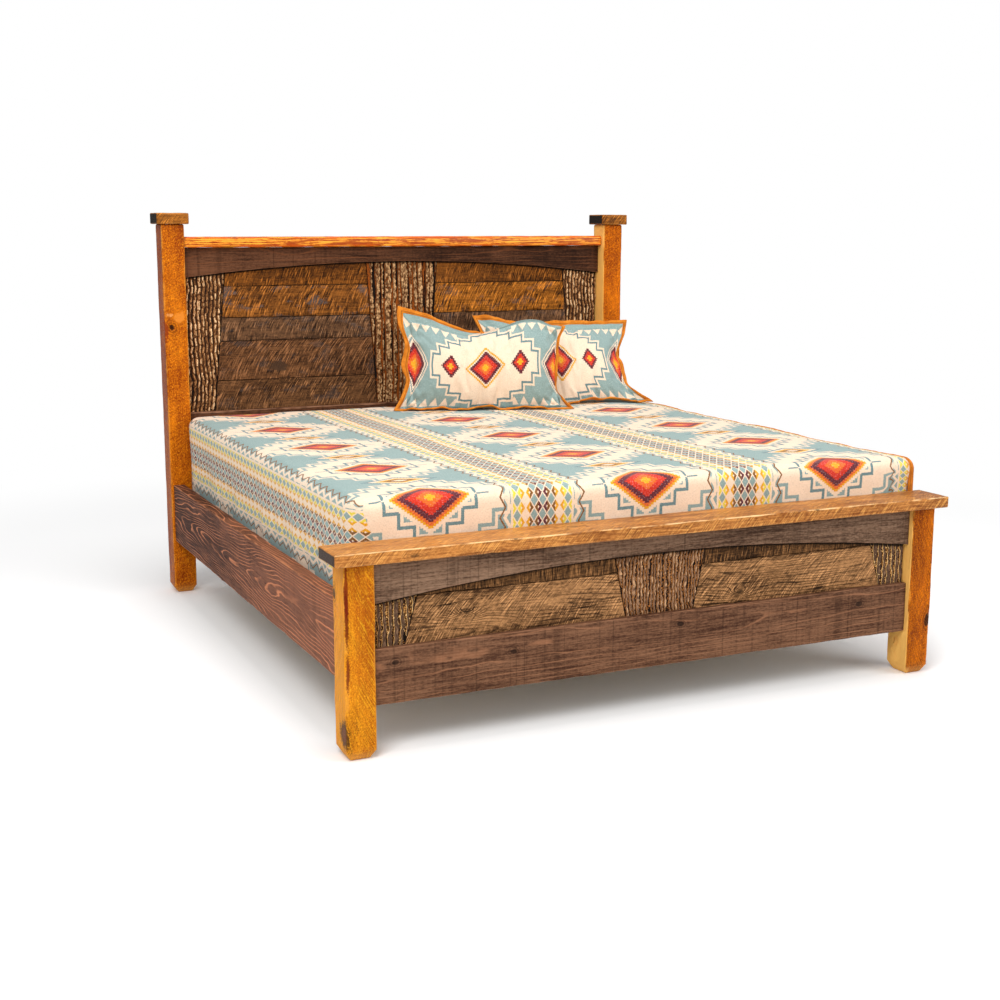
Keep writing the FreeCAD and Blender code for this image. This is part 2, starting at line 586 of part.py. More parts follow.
def plate_spots():
    """Each rail end: where the joint plane is and which way the rail's hooks point."""
    for side in (-1, 1):
        for plane, way in ((value(FOOT_INNER), -1), (value(HEAD_FACE), 1)):
            yield FreeCAD.Vector(side * value(RAIL_MIDDLE), plane, value(RAIL_CENTER)), way


def block(middle, wide, deep, tall):
    """A box of three sizes around its middle."""
    corner = middle - FreeCAD.Vector(wide / 2, deep / 2, tall / 2)
    return Part.makeBox(wide, deep, tall, corner)


def screw(middle, direction, long, play=0):
    """A countersunk wood screw whose head lies in the face at middle, or with play the hole for it."""
    radius = value("Bed.screw_radius") + play
    head = value("Bed.screw_head_tall")
    cone = Part.makeCone(value("Bed.screw_head_radius") + play, radius, head, middle, direction)
    shank = Part.makeCylinder(radius, long - head, middle + direction * head, direction)
    return cone.fuse(shank).removeSplitter()


def hook_plate(spot, way):
    """A plate let into a rail end, with two hooks that reach into the post."""
    thick = value("Bed.plate_thick")
    plate = block(spot - ALONG_Y * (way * thick / 2), value("Bed.plate_wide"), thick, value("Bed.plate_tall"))
    reach = value("Bed.hook_reach")
    for up in (-1, 1):
        middle = spot + ALONG_Y * (way * reach / 2) + ALONG_Z * (up * value("Bed.hook_spread"))
        plate = plate.fuse(block(middle, value("Bed.hook_thick"), reach, value("Bed.hook_tall")))
    for up in (-1, 1):
        start = spot + ALONG_Z * (up * value("Bed.plate_screw_spread"))
        plate = plate.cut(screw(start, ALONG_Y * -way, value("Bed.screw_long"), value("Bed.hole_play")))
    return plate.removeSplitter()


def slot_plate(spot, way):
    """A plate let into a post, with two slots for the hooks and room for them to drop."""
    thick = value("Bed.plate_thick")
    play = value("Bed.hook_play")
    plate = block(spot + ALONG_Y * (way * thick / 2), value("Bed.plate_wide"), thick, value("Bed.plate_tall"))
    drop = value("Bed.hook_drop")
    for up in (-1, 1):
        middle = spot + ALONG_Y * (way * thick / 2) + ALONG_Z * (up * value("Bed.hook_spread") - drop / 2)
        plate = plate.cut(block(middle, value("Bed.hook_thick") + 2 * play, 2 * thick,
                                value("Bed.hook_tall") + drop + 2 * play))
    for up in (-1, 1):
        start = spot + ALONG_Z * (up * value("Bed.plate_screw_spread"))
        plate = plate.cut(screw(start, ALONG_Y * way, value("Bed.screw_long"), value("Bed.hole_play")))
    return plate


solid_group("rail_hook_plates", [hook_plate(spot, way) for spot, way in plate_spots()])
solid_group("post_slot_plates", [slot_plate(spot, way) for spot, way in plate_spots()])
solid_group("plate_screws", [
    screw(spot + ALONG_Z * (up * value("Bed.plate_screw_spread")), ALONG_Y * (way * turn),
          value("Bed.screw_long"))
    for spot, way in plate_spots() for up in (-1, 1) for turn in (-1, 1)])


def cleat_screws():
    """Screws through each cleat into its rail, evenly spread."""
    edge = value("Bed.screw_edge")
    step = (value(SPAN) - 2 * edge) / (CLEAT_SCREW_COUNT - 1)
    for side in (-1, 1):
        for number in range(CLEAT_SCREW_COUNT):
            yield screw(FreeCAD.Vector(side * (value(RAIL_INNER) - value("Bed.cleat_wide")),
                                       value(FOOT_INNER) + edge + number * step,
                                       value(DECK) - value("Bed.cleat_tall") / 2),
                        ALONG_X * side, value("Bed.cleat_screw_long"))


def slat_screws():
    """Screws down through each slat's ends into the cleats, and into the legs."""
    top = value(SLAT_TOP)
    across = value(RAIL_INNER) - value("Bed.cleat_wide") / 2
    for number in range(1, SLAT_COUNT + 1):
        along = value(slat_middle(number))
        for side in (-1, 1):
            yield screw(FreeCAD.Vector(side * across, along, top), -ALONG_Z, value("Bed.slat_screw_long"))
    for number in LEG_SLATS.values():
        for side in (-1, 1):
            yield screw(FreeCAD.Vector(side * value("Bed.leg_wide") / 4, value(slat_middle(number)), top),
                        -ALONG_Z, value("Bed.slat_screw_long"))


solid_group("cleat_screws", list(cleat_screws()))
solid_group("slat_screws", list(slat_screws()))


def cushion_block(label, low, thick, round_radius):
    """A mattress or foundation: a thick pad with rounded edges."""
    body = new_body(label, ("0", MATTRESS_FOOT, low))
    base = new_sketch(body, "XY_Plane")
    outline(base, rectangle("-Bed.mattress_wide / 2", "0", "Bed.mattress_wide / 2", "Bed.mattress_long"))
    core = pad(body, base, thick)
    upright = soften(body, core, "Bed.mattress_corner", ALONG_Z)
    names = [f"Edge{number}" for number, edge in enumerate(upright.Shape.Edges, start=1)
             if abs(edge.tangentAt(edge.FirstParameter).dot(ALONG_Z)) < 1 - PARALLEL]
    rim = body.newObject("PartDesign::Fillet", f"{label}_rim")
    rim.Base = (upright, names)
    rim.setExpression("Radius", round_radius)
    doc.recompute()


cushion_block("foundation", SLAT_TOP, "Bed.foundation_thick", "Bed.foundation_round")
cushion_block("mattress", MATTRESS_LOW, "Bed.mattress_thick", "Bed.mattress_round")


def folded_side(start, end, outward, depth, count):
    """Arcs from start to end that bow out and in by turns, as gentle folds do."""
    edges = []
    for number in range(count):
        first = start + (end - start) * (number / count)
        last = start + (end - start) * ((number + 1) / count)
        bow = outward * (depth if number % 2 == 0 else -depth)
        edges.append(Part.Arc(first, (first + last) / 2 + bow, last).toShape())
    return edges


def blanket_loop(height, inset, thin, fold, reach_right, reach_head):
    """One level of the blanket: folds along the left and foot sides, a round corner between them.

    inset draws the sides in near the top edge, and thin is 0 outside and the cloth's thickness inside."""
    left = value("-Bed.mattress_wide / 2 - Bed.side_slack - Bed.cloth_thick") + inset + thin
    foot = value(BLANKET_FOOT) + inset + thin
    corner = value("Bed.mattress_corner")
    head_left = FreeCAD.Vector(left, reach_head, height)
    foot_left = FreeCAD.Vector(left, foot + corner, height)
    left_foot = FreeCAD.Vector(left + corner, foot, height)
    right_foot = FreeCAD.Vector(reach_right, foot, height)
    head_right = FreeCAD.Vector(reach_right, reach_head, height)
    turn = corner * (1 - math.cos(math.pi / 4))
    middle = FreeCAD.Vector(left + turn, foot + turn, height)
    pitch = value("Bed.fold_wide")
    side_count = 2 * round((reach_head - foot) / pitch / 2) + 1
    foot_count = 2 * round((reach_right - left) / pitch / 2) + 1
    edges = folded_side(head_left, foot_left, -ALONG_X, fold, side_count)
    edges.append(Part.Arc(foot_left, middle, left_foot).toShape())
    edges += folded_side(left_foot, right_foot, -ALONG_Y, fold * FOOT_FOLD_SHARE, foot_count)
    edges.append(Part.makeLine(right_foot, head_right))
    edges.append(Part.makeLine(head_right, head_left))
    return Part.Wire(edges)


def blanket_block(thin, top, right, head, low_extra):
    """The space inside the blanket's outer or inner face, from the hem to the rounded top edge."""
    bend = value("Bed.mattress_round") - thin
    fold = value("Bed.fold_depth")
    hem = top - value("Bed.blanket_hang") - low_extra
    loops = [blanket_loop(hem, 0, thin, fold, right, head),
             blanket_loop((hem + top) / 2, 0, thin, fold * HALF_FOLD_SHARE, right, head)]
    for share in (0, 1 / 3, 2 / 3, 1):
        angle = share * math.pi / 2
        depth = fold * max(BEND_FOLD_SHARE * (1 - share), LEAST_FOLD_SHARE)
        loops.append(blanket_loop(top - bend * (1 - math.sin(angle)), bend * (1 - math.cos(angle)), thin,
                                  depth, right, head))
    return Part.makeLoft(loops, True, True)


def blanket():
    """One cloth over the mattress: it hangs inside the left rail and behind the bench, and stands out
    past the mattress on the right, where only its foot corner hangs."""
    thick = value("Bed.cloth_thick")
    top = value(BLANKET_TOP)
    tip = value(FLAP_TIP)
    head = value(BLANKET_HEAD)
    room = value("Bed.mattress_gap + Bed.flap_reach")
    outer = blanket_block(0, top, tip, head, 0)
    inner = blanket_block(thick, top - thick, tip + room, head + room, room)
    corner_low = value(FLAP_LOW)
    hang = value("Bed.blanket_hang")
    edge = value("Bed.mattress_wide / 2")
    away = Part.makeBox(tip + room - edge, 2 * room, hang, FreeCAD.Vector(
        edge, value(BLANKET_FOOT) - room, corner_low - hang))
    return outer.cut(inner).cut(away)


solid_group("blanket", [blanket()])


def hem_strip():
    """The bound hem along the free right edge of the blanket, bent down over its foot corner."""
    grip = value("(Bed.hem_thick - Bed.cloth_thick) / 2")
    thick = value("Bed.hem_thick")
    top = value(BLANKET_TOP) + grip
    foot = value(BLANKET_FOOT) - grip
    head = value(BLANKET_HEAD)
    low = value(FLAP_LOW)
    bend = value("Bed.mattress_round") + grip
    tip = value(FLAP_TIP)
    center = FreeCAD.Vector(tip, foot + bend, top - bend)

    def quarter(radius):
        slope = (ALONG_Z - ALONG_Y) * (radius * math.sqrt(0.5))
        return Part.Arc(center + ALONG_Z * radius, center + slope, center - ALONG_Y * radius).toShape()

    def run(*places):
        return Part.makeLine(*(FreeCAD.Vector(tip, along, height) for along, height in places))

    inner = bend - thick
    profile = Part.Wire([
        run((head, top), (foot + bend, top)), quarter(bend), run((foot, top - bend), (foot, low)),
        run((foot, low), (foot + thick, low)), run((foot + thick, low), (foot + thick, top - bend)),
        quarter(inner), run((foot + bend, top - thick), (head, top - thick)),
        run((head, top - thick), (head, top))])
    return Part.Face(profile).extrude(ALONG_X * value("Bed.hem_wide"))


solid_group("blanket_binding", [hem_strip()])


def waisted_outline(inset):
    """A pillow's edge seen from the front: four sides that bow inward between its corners."""
    wide = value("Bed.pillow_wide") / 2 - inset
    tall = value("Bed.pillow_tall") - 2 * inset
    waist = value("Bed.pillow_waist")
    corners = [FreeCAD.Vector(-wide, 0, inset), FreeCAD.Vector(wide, 0, inset),
               FreeCAD.Vector(wide, 0, inset + tall), FreeCAD.Vector(-wide, 0, inset + tall)]
    middle = FreeCAD.Vector(0, 0, inset + tall / 2)
    edges = []
    for number, corner in enumerate(corners):
        following = corners[(number + 1) % 4]
        halfway = (corner + following) / 2
        inward = (middle - halfway).normalize()
        edges.append(Part.Arc(corner, halfway + inward * waist, following).toShape())
    return Part.Wire(edges)


def slab_through(wire, thick):
    """A flat sheet of a given thickness around a wire's own plane."""
    face = Part.Face(wire)
    face.translate(ALONG_Y * (-thick / 2))
    return face.extrude(ALONG_Y * thick)


def pillow_parts():
    """A filled pillow with its flange, and the bound hem around the flange."""
    flange = value("Bed.pillow_flange")
    hem = value("Bed.pillow_hem_wide")
    half = value("Bed.pillow_wide") / 2 - flange
    tall = value("Bed.pillow_tall")
    sections = []
    for place_share, crown, waist in zip(PILLOW_PLACE_SHARES, PILLOW_CROWN_SHARES, PILLOW_WAIST_SHARES):
        low = flange + waist * value("Bed.pillow_waist")
        high = tall - low
        out = value("Bed.pillow_thick") / 2 * crown
        bottom = FreeCAD.Vector(half * place_share, 0, low)
        top = FreeCAD.Vector(half * place_share, 0, high)
        middle = (bottom + top) / 2
        sections.append(Part.Wire([Part.Arc(bottom, middle - ALONG_Y * out, top).toShape(),
                                   Part.Arc(top, middle + ALONG_Y * out, bottom).toShape()]))
    filling = Part.makeLoft(sections, True, False)
    cover = filling.fuse(slab_through(waisted_outline(hem), value("Bed.flange_thick")))
    rim = value("Bed.pillow_hem_thick")
    ring = slab_through(waisted_outline(0), rim).cut(slab_through(waisted_outline(hem), 2 * rim))
    return cover, ring


def pillow(name, across, from_head, yaw, lean):
    """A pillow and its hem, leaning back and turned a little, on the blanket."""
    cover, ring = pillow_parts()
    rest = value("Bed.pillow_hem_thick") / 2 * math.sin(math.radians(value(lean)))
    top = value(f"{BLANKET_TOP} + Bed.cloth_rest") + rest
    spot = FreeCAD.Vector(value(across), value(f"{MATTRESS_HEAD} - {from_head}"), top)
    leaning = FreeCAD.Rotation(ALONG_X, -value(lean))
    turning = FreeCAD.Rotation(ALONG_Z, -value(yaw))
    for label, shape in ((f"pillow_{name}", cover), (f"pillow_{name}_binding", ring)):
        group = solid_group(label, [shape])
        group.Placement = FreeCAD.Placement(spot, turning.multiply(leaning))


pillow("front", "Bed.front_pillow_across", "Bed.front_pillow_from_head", "Bed.front_pillow_yaw",
       "Bed.front_pillow_lean")
pillow("back", "Bed.back_pillow_across", "Bed.back_pillow_from_head", "Bed.back_pillow_yaw",
       "Bed.back_pillow_lean")

doc.recompute()
for item in doc.Objects:
    if {"Invalid", "Error"} & set(item.State):
        raise RuntimeError(f"{item.Label} did not compute: {item.State}")
os.makedirs("parts", exist_ok=True)
for piece in pieces:
    if piece.Shape.isNull() or not piece.Shape.isValid():
        raise RuntimeError(f"{piece.Label} has no valid shape")
for piece in pieces:
    piece.Shape.exportStep(os.path.join("parts", f"{piece.Label}.step"))
print(f"{len(pieces)} pieces written")
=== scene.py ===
"""Looks for the rustic king bed: sawn timbers, bark, a woven blanket and flanged pillows."""
import functools
import math

import bmesh
import bpy
import numpy as np
from mathutils import Matrix, Vector


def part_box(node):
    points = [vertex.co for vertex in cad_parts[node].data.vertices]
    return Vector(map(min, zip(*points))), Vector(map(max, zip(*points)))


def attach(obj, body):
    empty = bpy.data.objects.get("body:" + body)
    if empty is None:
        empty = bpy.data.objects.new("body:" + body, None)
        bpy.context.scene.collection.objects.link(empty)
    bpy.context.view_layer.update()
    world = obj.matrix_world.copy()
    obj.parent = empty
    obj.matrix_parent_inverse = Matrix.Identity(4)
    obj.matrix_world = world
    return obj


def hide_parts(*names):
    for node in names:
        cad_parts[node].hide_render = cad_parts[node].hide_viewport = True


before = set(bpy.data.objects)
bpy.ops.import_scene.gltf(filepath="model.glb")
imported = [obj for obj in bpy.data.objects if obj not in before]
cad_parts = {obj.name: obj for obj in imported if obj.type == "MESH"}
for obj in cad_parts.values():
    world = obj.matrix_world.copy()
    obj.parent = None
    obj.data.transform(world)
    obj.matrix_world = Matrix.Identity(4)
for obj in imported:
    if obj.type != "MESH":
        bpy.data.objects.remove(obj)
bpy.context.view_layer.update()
PI = math.pi
SIDE_SIGN = {"left": -1, "right": 1}


def corners(node):
    """The least and the greatest corner of a CAD node, in metres."""
    low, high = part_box(node)
    return np.array(low), np.array(high)


# Shapes

def waver(place, seed, longest, layers=4):
    """A number that wavers between about -1 and 1 along place: sines, each about half as long as the one
    before and a little weaker, at phases that come from the seed."""
    dice = np.random.default_rng(seed)
    total, weight = 0.0, 0.0
    for layer in range(layers):
        wave = longest / 1.9 ** layer * dice.uniform(0.8, 1.25)
        total = total + np.sin(2 * PI * (np.asarray(place) / wave + dice.random())) / (layer + 1)
        weight += 0.7 / (layer + 1)
    return total / weight


def rolling(across, along, seed, longest, layers=5):
    """A height that rolls between about -1 and 1 over a plane: sines of falling length that run in
    directions taken from the seed."""
    dice = np.random.default_rng(seed)
    total, weight = 0.0, 0.0
    for layer in range(layers):
        for _ in range(3):
            wave = longest / 1.7 ** layer * dice.uniform(0.8, 1.25)
            turn = dice.uniform(0, 2 * PI)
            total = total + np.sin(2 * PI * ((across * np.cos(turn) + along * np.sin(turn)) / wave
                                             + dice.random())) / (layer + 1)
            weight += 0.45 / (layer + 1)
    return total / weight


def ease(start, end, place):
    """0 before start and 1 after end, with a smooth rise in between: t squared times (3 - 2 t)."""
    t = np.clip((np.asarray(place, float) - start) / (end - start), 0, 1)
    return t * t * (3 - 2 * t)


def quads(rows, columns, closed=False):
    """The four corners of every cell of a grid whose points are numbered row by row; closed joins its last
    column to its first. Seen with the columns to the right and the rows upwards, they run anticlockwise."""
    row = np.arange(rows - 1)[:, None] * columns
    column = np.arange(columns if closed else columns - 1)[None, :]
    right = (column + 1) % columns
    cells = [row + column, row + right, row + columns + right, row + columns + column]
    return np.stack(cells, -1).reshape(-1, 4)


def fan(ring, middle):
    """Triangles from a closed ring of point numbers to a middle point."""
    return np.stack([ring, np.roll(ring, -1), np.full(len(ring), middle)], -1)


def lids(rows, columns):
    """Triangles that close both ends of a tube; the middles of its ends are the two points after it."""
    ring, middle = np.arange(columns), rows * columns
    return np.concatenate([fan(ring[::-1], middle), fan(middle - columns + ring, middle + 1)])


def rim_of(rows, columns):
    """The numbers of a grid's outermost points, anticlockwise from the first."""
    return np.concatenate([np.arange(columns), np.arange(1, rows) * columns + columns - 1,
                           (rows - 1) * columns + np.arange(columns - 2, -1, -1),
                           np.arange(rows - 2, 0, -1) * columns])


def placed(name, data):
    """A new object in the scene."""
    made = bpy.data.objects.new(name, data)
    bpy.context.scene.collection.objects.link(made)
    return made


def piece(name, points, fours, threes, finish, body, stands_for=(), maps=None, notes={}):
    """A mesh piece from arrays of points, of four-cornered and of three-cornered faces.

    maps gives a UV pair for each point, and notes a named number or vector for each point."""
    points = np.asarray(points, float).reshape(-1, 3)
    fours, threes = np.asarray(fours, int).reshape(-1, 4), np.asarray(threes, int).reshape(-1, 3)
    loops = np.concatenate([fours.ravel(), threes.ravel()]).astype(np.int32)
    sizes = np.repeat([4, 3], [len(fours), len(threes)]).astype(np.int32)
    mesh = bpy.data.meshes.new(name)
    mesh.vertices.add(len(points))
    mesh.vertices.foreach_set("co", points.astype(np.float32).ravel())
    mesh.loops.add(len(loops))
    mesh.loops.foreach_set("vertex_index", loops)
    mesh.polygons.add(len(sizes))
    mesh.polygons.foreach_set("loop_start", (np.cumsum(sizes) - sizes).astype(np.int32))
    mesh.update(calc_edges=True)
    mesh.polygons.foreach_set("use_smooth", np.ones(len(sizes), bool))
    if maps is not None:
        layer = mesh.uv_layers.new(name="cloth")
        layer.data.foreach_set("uv", np.asarray(maps)[loops].astype(np.float32).ravel())
    for label, values in notes.items():
        kind, key = ("FLOAT", "value") if values.ndim == 1 else ("FLOAT_VECTOR", "vector")
        note = mesh.attributes.new(label, kind, "POINT")
        note.data.foreach_set(key, values.astype(np.float32).ravel())
    mesh.materials.append(finish)
    mesh.validate()
    made = placed(name, mesh)
    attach(made, body)
    if stands_for:
        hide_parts(*stands_for)
    return made


def section(half, radii, sides, arc, wear_and_shading_by_corner=(1, 1, 1, 1)):
    """Points of rounded rectangles, anticlockwise from the first corner's start: for each station, four
    quarter circles of their own radius, joined by straight sides.

    half is (stations, 2), radii (stations, 4), sides how many steps each straight side has. Gives the
    points, and how much of the edge colour each one takes, which is wear on most timbers, a painted
    highlight on the bench and painted shade on the planks: full in the middle of a corner, times that
    corner's share of rubbed."""
    turn = np.linspace(0, PI / 2, arc)
    rows = []
    for corner, sign in enumerate(((1, 1), (-1, 1), (-1, -1), (1, -1))):
        r, angle = radii[:, corner, None], turn + corner * PI / 2
        x = sign[0] * half[:, :1] - sign[0] * r + r * np.cos(angle)
        y = sign[1] * half[:, 1:] - sign[1] * r + r * np.sin(angle)
        rows.append(np.stack([x, y], -1))
    points, wear_and_shading = [], []
    for corner in range(4):
        steps = sides[corner % 2]
        share = (np.arange(1, steps) / steps)[None, :, None]
        start, end = rows[corner][:, -1:], rows[(corner + 1) % 4][:, :1]
        points += [rows[corner], start + (end - start) * share]
        wear_and_shading += [wear_and_shading_by_corner[corner] * np.sin(2 * turn) ** 0.5, np.zeros(steps - 1)]
    return np.concatenate(points, 1), np.concatenate(wear_and_shading)


def timber(name, node, along, finish, low=None, high=None, edge=0.004, seed=1, heart=(0.02, -0.06),
           wear=0.4, chips=(), bend=None, raw=None, step=0.02, rough=0.0006, tone=(0.5, 0.5), toe=None,
           arc=5, radii_of=None, wear_and_shading_by_corner=(1, 1, 1, 1), outer=(1, 0.0)):
    """A sawn timber in place of a CAD node, in its box or between two other corners, with its grain along
    one axis.

    The surface is a rounded rectangle carried along the grain: at distance t its corner radius is the edge
    times (1 + wear times a wavering number), more where a chip is, and within one edge radius of an end
    the rectangle draws in by edge (1 - sin f) at distance edge (1 - cos f). toe (tall, inset) draws the
    first end in by a straight slope. bend moves the finished points. The note "grain" holds each point's
    place along, across and into the tree, "worn" how near a long edge it is, by rubbed, for an edge colour
    that is wear on most timbers, partly a painted highlight on the bench and painted shade on the planks,
    "raw" where it is bare and "tone" how light it is, from the first end to the other; outer (sign, change)
    alters it on one face of the first axis across."""
    if low is None:
        low, high = corners(node)
    first, second = (along + 1) % 3, (along + 2) % 3
    length = high[along] - low[along]
    f = np.linspace(0, PI / 2, 4)
    near, drawn_in = edge * (1 - np.cos(f)), edge * (1 - np.sin(f))
    inner = np.linspace(edge, length - edge, max(2, int(round(length / step))))[1:-1]
    if toe:
        inner = np.unique(np.concatenate([inner[inner > toe[0] + step / 3], [toe[0]]]))
    place = np.concatenate([[0, 0], near, inner, length - near[::-1], [length, length]])
    inset = np.concatenate([[edge] * 2, drawn_in, np.zeros(len(inner)), drawn_in[::-1], [edge] * 2])
    shrink = np.ones(len(place))
    shrink[[0, -1]], shrink[[1, -2]] = 0.33, 0.67
    if toe:
        inset = inset + toe[1] * (1 - np.clip(place / toe[0], 0, 1))
    half = np.stack([(high[axis] - low[axis]) / 2 - inset for axis in (first, second)], -1)
    radii = np.stack([edge * (1 + wear * waver(place, seed * 7 + corner, 0.35)) for corner in range(4)], -1)
    if radii_of:
        radii = radii_of(place, radii)
    for corner, spot, reach, deep in chips:
        radii[:, corner] += deep * np.exp(-((place - spot) / reach) ** 2)
    radii = np.clip(radii - inset[:, None], 0.0006, half.min(1)[:, None] * 0.95)
    sides = [max(1, int(round((high[axis] - low[axis]) / step))) for axis in (first, second)]
    flat, bends = section(half, radii, sides, arc, wear_and_shading_by_corner)
    flat = flat * shrink[:, None, None]
    rows, columns = flat.shape[:2]
    middle = (low + high) / 2
    points, out = np.empty((rows, columns, 3)), np.zeros((rows, columns, 3))
    points[..., along] = low[along] + place[:, None]
    reach = np.maximum(np.abs(flat) / half[:, None, :], 1e-6)
    for number, axis in enumerate((first, second)):
        points[..., axis] = middle[axis] + flat[..., number]
        out[..., axis] = np.sign(flat[..., number]) * (reach[..., number] > 0.97)
    points = points + out * (rough * (rolling(points[..., along], points[..., first] + points[..., second],
                                              seed + 50, 0.09) - 0.8))[..., None]
    caps = np.stack([middle, middle])
    caps[0, along], caps[1, along] = low[along], high[along]
    points = np.concatenate([points.reshape(-1, 3), caps])
    out = np.concatenate([out.reshape(-1, 3), np.zeros((2, 3))])
    end = np.zeros(rows)
    end[:3], end[-3:] = 1, 1
    end = np.concatenate([np.repeat(end, columns), [1, 1]])
    wear_and_shading = np.concatenate([np.tile(bends, rows), [0, 0]]) * (1 - end)
    if bend:
        points = bend(points)
    grain = np.stack([points[:, along] + 3.7 * seed, points[:, first] - middle[first] - heart[0],
                      points[:, second] - middle[second] - heart[1]], -1)
    bare = raw(points, out) if raw else np.zeros(len(points))
    light = tone[0] + (tone[1] - tone[0]) * (points[:, along] - low[along]) / length
    light = light + outer[1] * (out[:, first] * outer[0] > 0.5)
    return piece(name, points, quads(rows, columns, True), lids(rows, columns), finish, "bed_frame",
                 [node], notes={"grain": grain, "wear_and_shading": wear_and_shading, "raw": bare, "end": end, "tone": light})


# Finishes: numbers and vectors on their way between nodes

def tint(*shade):
    """A colour from its three sRGB bytes, as a shader reads it: c / 12.92 where dark, else
    ((c + 0.055) / 1.055) to the power 2.4."""
    bytes_of = [byte / 255 for byte in shade]
    return (*(c / 12.92 if c <= 0.04045 else ((c + 0.055) / 1.055) ** 2.4 for c in bytes_of), 1.0)


class Reading:
    """A number or vector read in a material; sums and products of readings become Math nodes."""

    def __init__(self, tree, socket):
        self.tree, self.socket = tree, socket

    def step(self, kind, *others):
        """This number and others put through one Math node."""
        node = self.tree.nodes.new("ShaderNodeMath")
        node.operation = kind
        for slot, value in zip(node.inputs, (self, *others)):
            plug(self.tree, slot, value)
        return Reading(self.tree, node.outputs[0])

    def __rsub__(self, other):
        return self.step("MULTIPLY", -1.0).step("ADD", other)

    def rise(self, start, end):
        """0 at start and 1 at end, with a smooth rise."""
        node = self.tree.nodes.new("ShaderNodeMapRange")
        node.interpolation_type = "SMOOTHSTEP"
        for label, value in (("Value", self), ("From Min", start), ("From Max", end)):
            plug(self.tree, node.inputs[label], value)
        return Reading(self.tree, node.outputs["Result"])


# The other operators and steps: part is what is left over a whole number, and over and under give 1 or 0
for label, kind in {"__add__": "ADD", "__radd__": "ADD", "__sub__": "SUBTRACT", "__mul__": "MULTIPLY",
                    "__rmul__": "MULTIPLY", "__truediv__": "DIVIDE", "__pow__": "POWER", "size": "ABSOLUTE",
                    "part": "FRACT", "whole": "FLOOR", "least": "MINIMUM", "most": "MAXIMUM",
                    "over": "GREATER_THAN", "under": "LESS_THAN"}.items():
    setattr(Reading, label, functools.partialmethod(Reading.step, kind))


def plug(tree, slot, value):
    """Join a reading, a socket or a plain value to a node's input."""
    value = getattr(value, "socket", value)
    if isinstance(value, bpy.types.NodeSocket):
        tree.links.new(value, slot)
    else:
        slot.default_value = value


class Finish:
    """A material being made: its tree, its shader and the readings that its pattern starts from."""

    def __init__(self, name, **steady):
        self.material = bpy.data.materials.new(name)
        self.material.use_nodes = True
        self.tree = self.material.node_tree
        self.shader = self.tree.nodes["Principled BSDF"]
        for label, value in steady.items():
            self.shader.inputs[label.replace("_", " ").title().replace("Ior", "IOR")].default_value = value

    def node(self, kind, **settings):
        made = self.tree.nodes.new(kind)
        for label, value in settings.items():
            setattr(made, label, value)
        return made

    def place(self):
        """The point's own place in metres."""
        return self.node("ShaderNodeTexCoord").outputs["Object"]

    def vector(self, kind, *values, output="Vector"):
        """Vectors put through one VectorMath node."""
        node = self.node("ShaderNodeVectorMath", operation=kind)
        for slot, value in zip(node.inputs, values):
            plug(self.tree, slot, value)
        return node.outputs[output]

    def spot(self, centre, wide, long, axis):
        """The distance from a place, in units of a radius: long along one axis and wide along the others."""
        radii = [long if k == axis else wide for k in range(3)]
        near = self.vector("DIVIDE", self.vector("SUBTRACT", self.place(), centre), radii)
        return Reading(self.tree, self.vector("LENGTH", near, output="Value"))

    def note(self, label, output="Fac"):
        """A number or vector that the mesh holds for each point."""
        return Reading(self.tree, self.node("ShaderNodeAttribute", attribute_name=label).outputs[output])

    def split(self, vector):
        node = self.node("ShaderNodeSeparateXYZ")
        plug(self.tree, node.inputs[0], vector)
        return [Reading(self.tree, out) for out in node.outputs]

    def join(self, *numbers):
        node = self.node("ShaderNodeCombineXYZ")
        for slot, value in zip(node.inputs, numbers):
            plug(self.tree, slot, value)
        return node.outputs[0]

    def noise(self, vector, scale=1.0, detail=3.0, rough=0.55, stretch=None, output="Fac", **settings):
        """Smooth noise about 0.5 over a vector, which is stretched first."""
        if stretch:
            vector = self.vector("MULTIPLY", vector, stretch)
        node = self.node("ShaderNodeTexNoise", **settings)
        for label, value in (("Vector", vector), ("Scale", scale), ("Detail", detail), ("Roughness", rough)):
            plug(self.tree, node.inputs[label], value)
        return Reading(self.tree, node.outputs[output])

    def ramp(self, value, stops, sharp=False):
        """A colour picked along a number, from (place, colour) stops; sharp ones hold up to the next."""
        node = self.node("ShaderNodeValToRGB")
        if sharp:
            node.color_ramp.interpolation = "CONSTANT"
            stops = [*stops, (1.0, stops[-1][1])]
        plug(self.tree, node.inputs[0], value)
        marks = node.color_ramp.elements
        for mark, (place, colour) in zip(marks, (stops[0], stops[-1])):
            mark.position, mark.color = place, colour
        for place, colour in stops[1:-1]:
            marks.new(place).color = colour
        return node.outputs["Color"]

    def blend(self, share, below, above, kind="MIX"):
        """One colour over another, by a share from 0 to 1."""
        node = self.node("ShaderNodeMix", data_type="RGBA", blend_type=kind)
        for slot, value in ((0, share), (6, below), (7, above)):
            plug(self.tree, node.inputs[slot], value)
        return node.outputs[2]

    def done(self, colour, rough, height, deep, strength=0.8):
        """The material, with its colour, its roughness (or None if it is steady) and its bumps."""
        bump = self.node("ShaderNodeBump")
        for slot, value in ((bump.inputs["Strength"], strength), (bump.inputs["Distance"], deep),
                            (bump.inputs["Height"], height), (self.shader.inputs["Base Color"], colour),
                            (self.shader.inputs["Normal"], bump.outputs[0])):
            plug(self.tree, slot, value)
        if rough:
            plug(self.tree, self.shader.inputs["Roughness"], rough)
        return self.material


BARE, BARE_GRAIN = tint(255, 196, 106), tint(255, 184.24, 93.28)


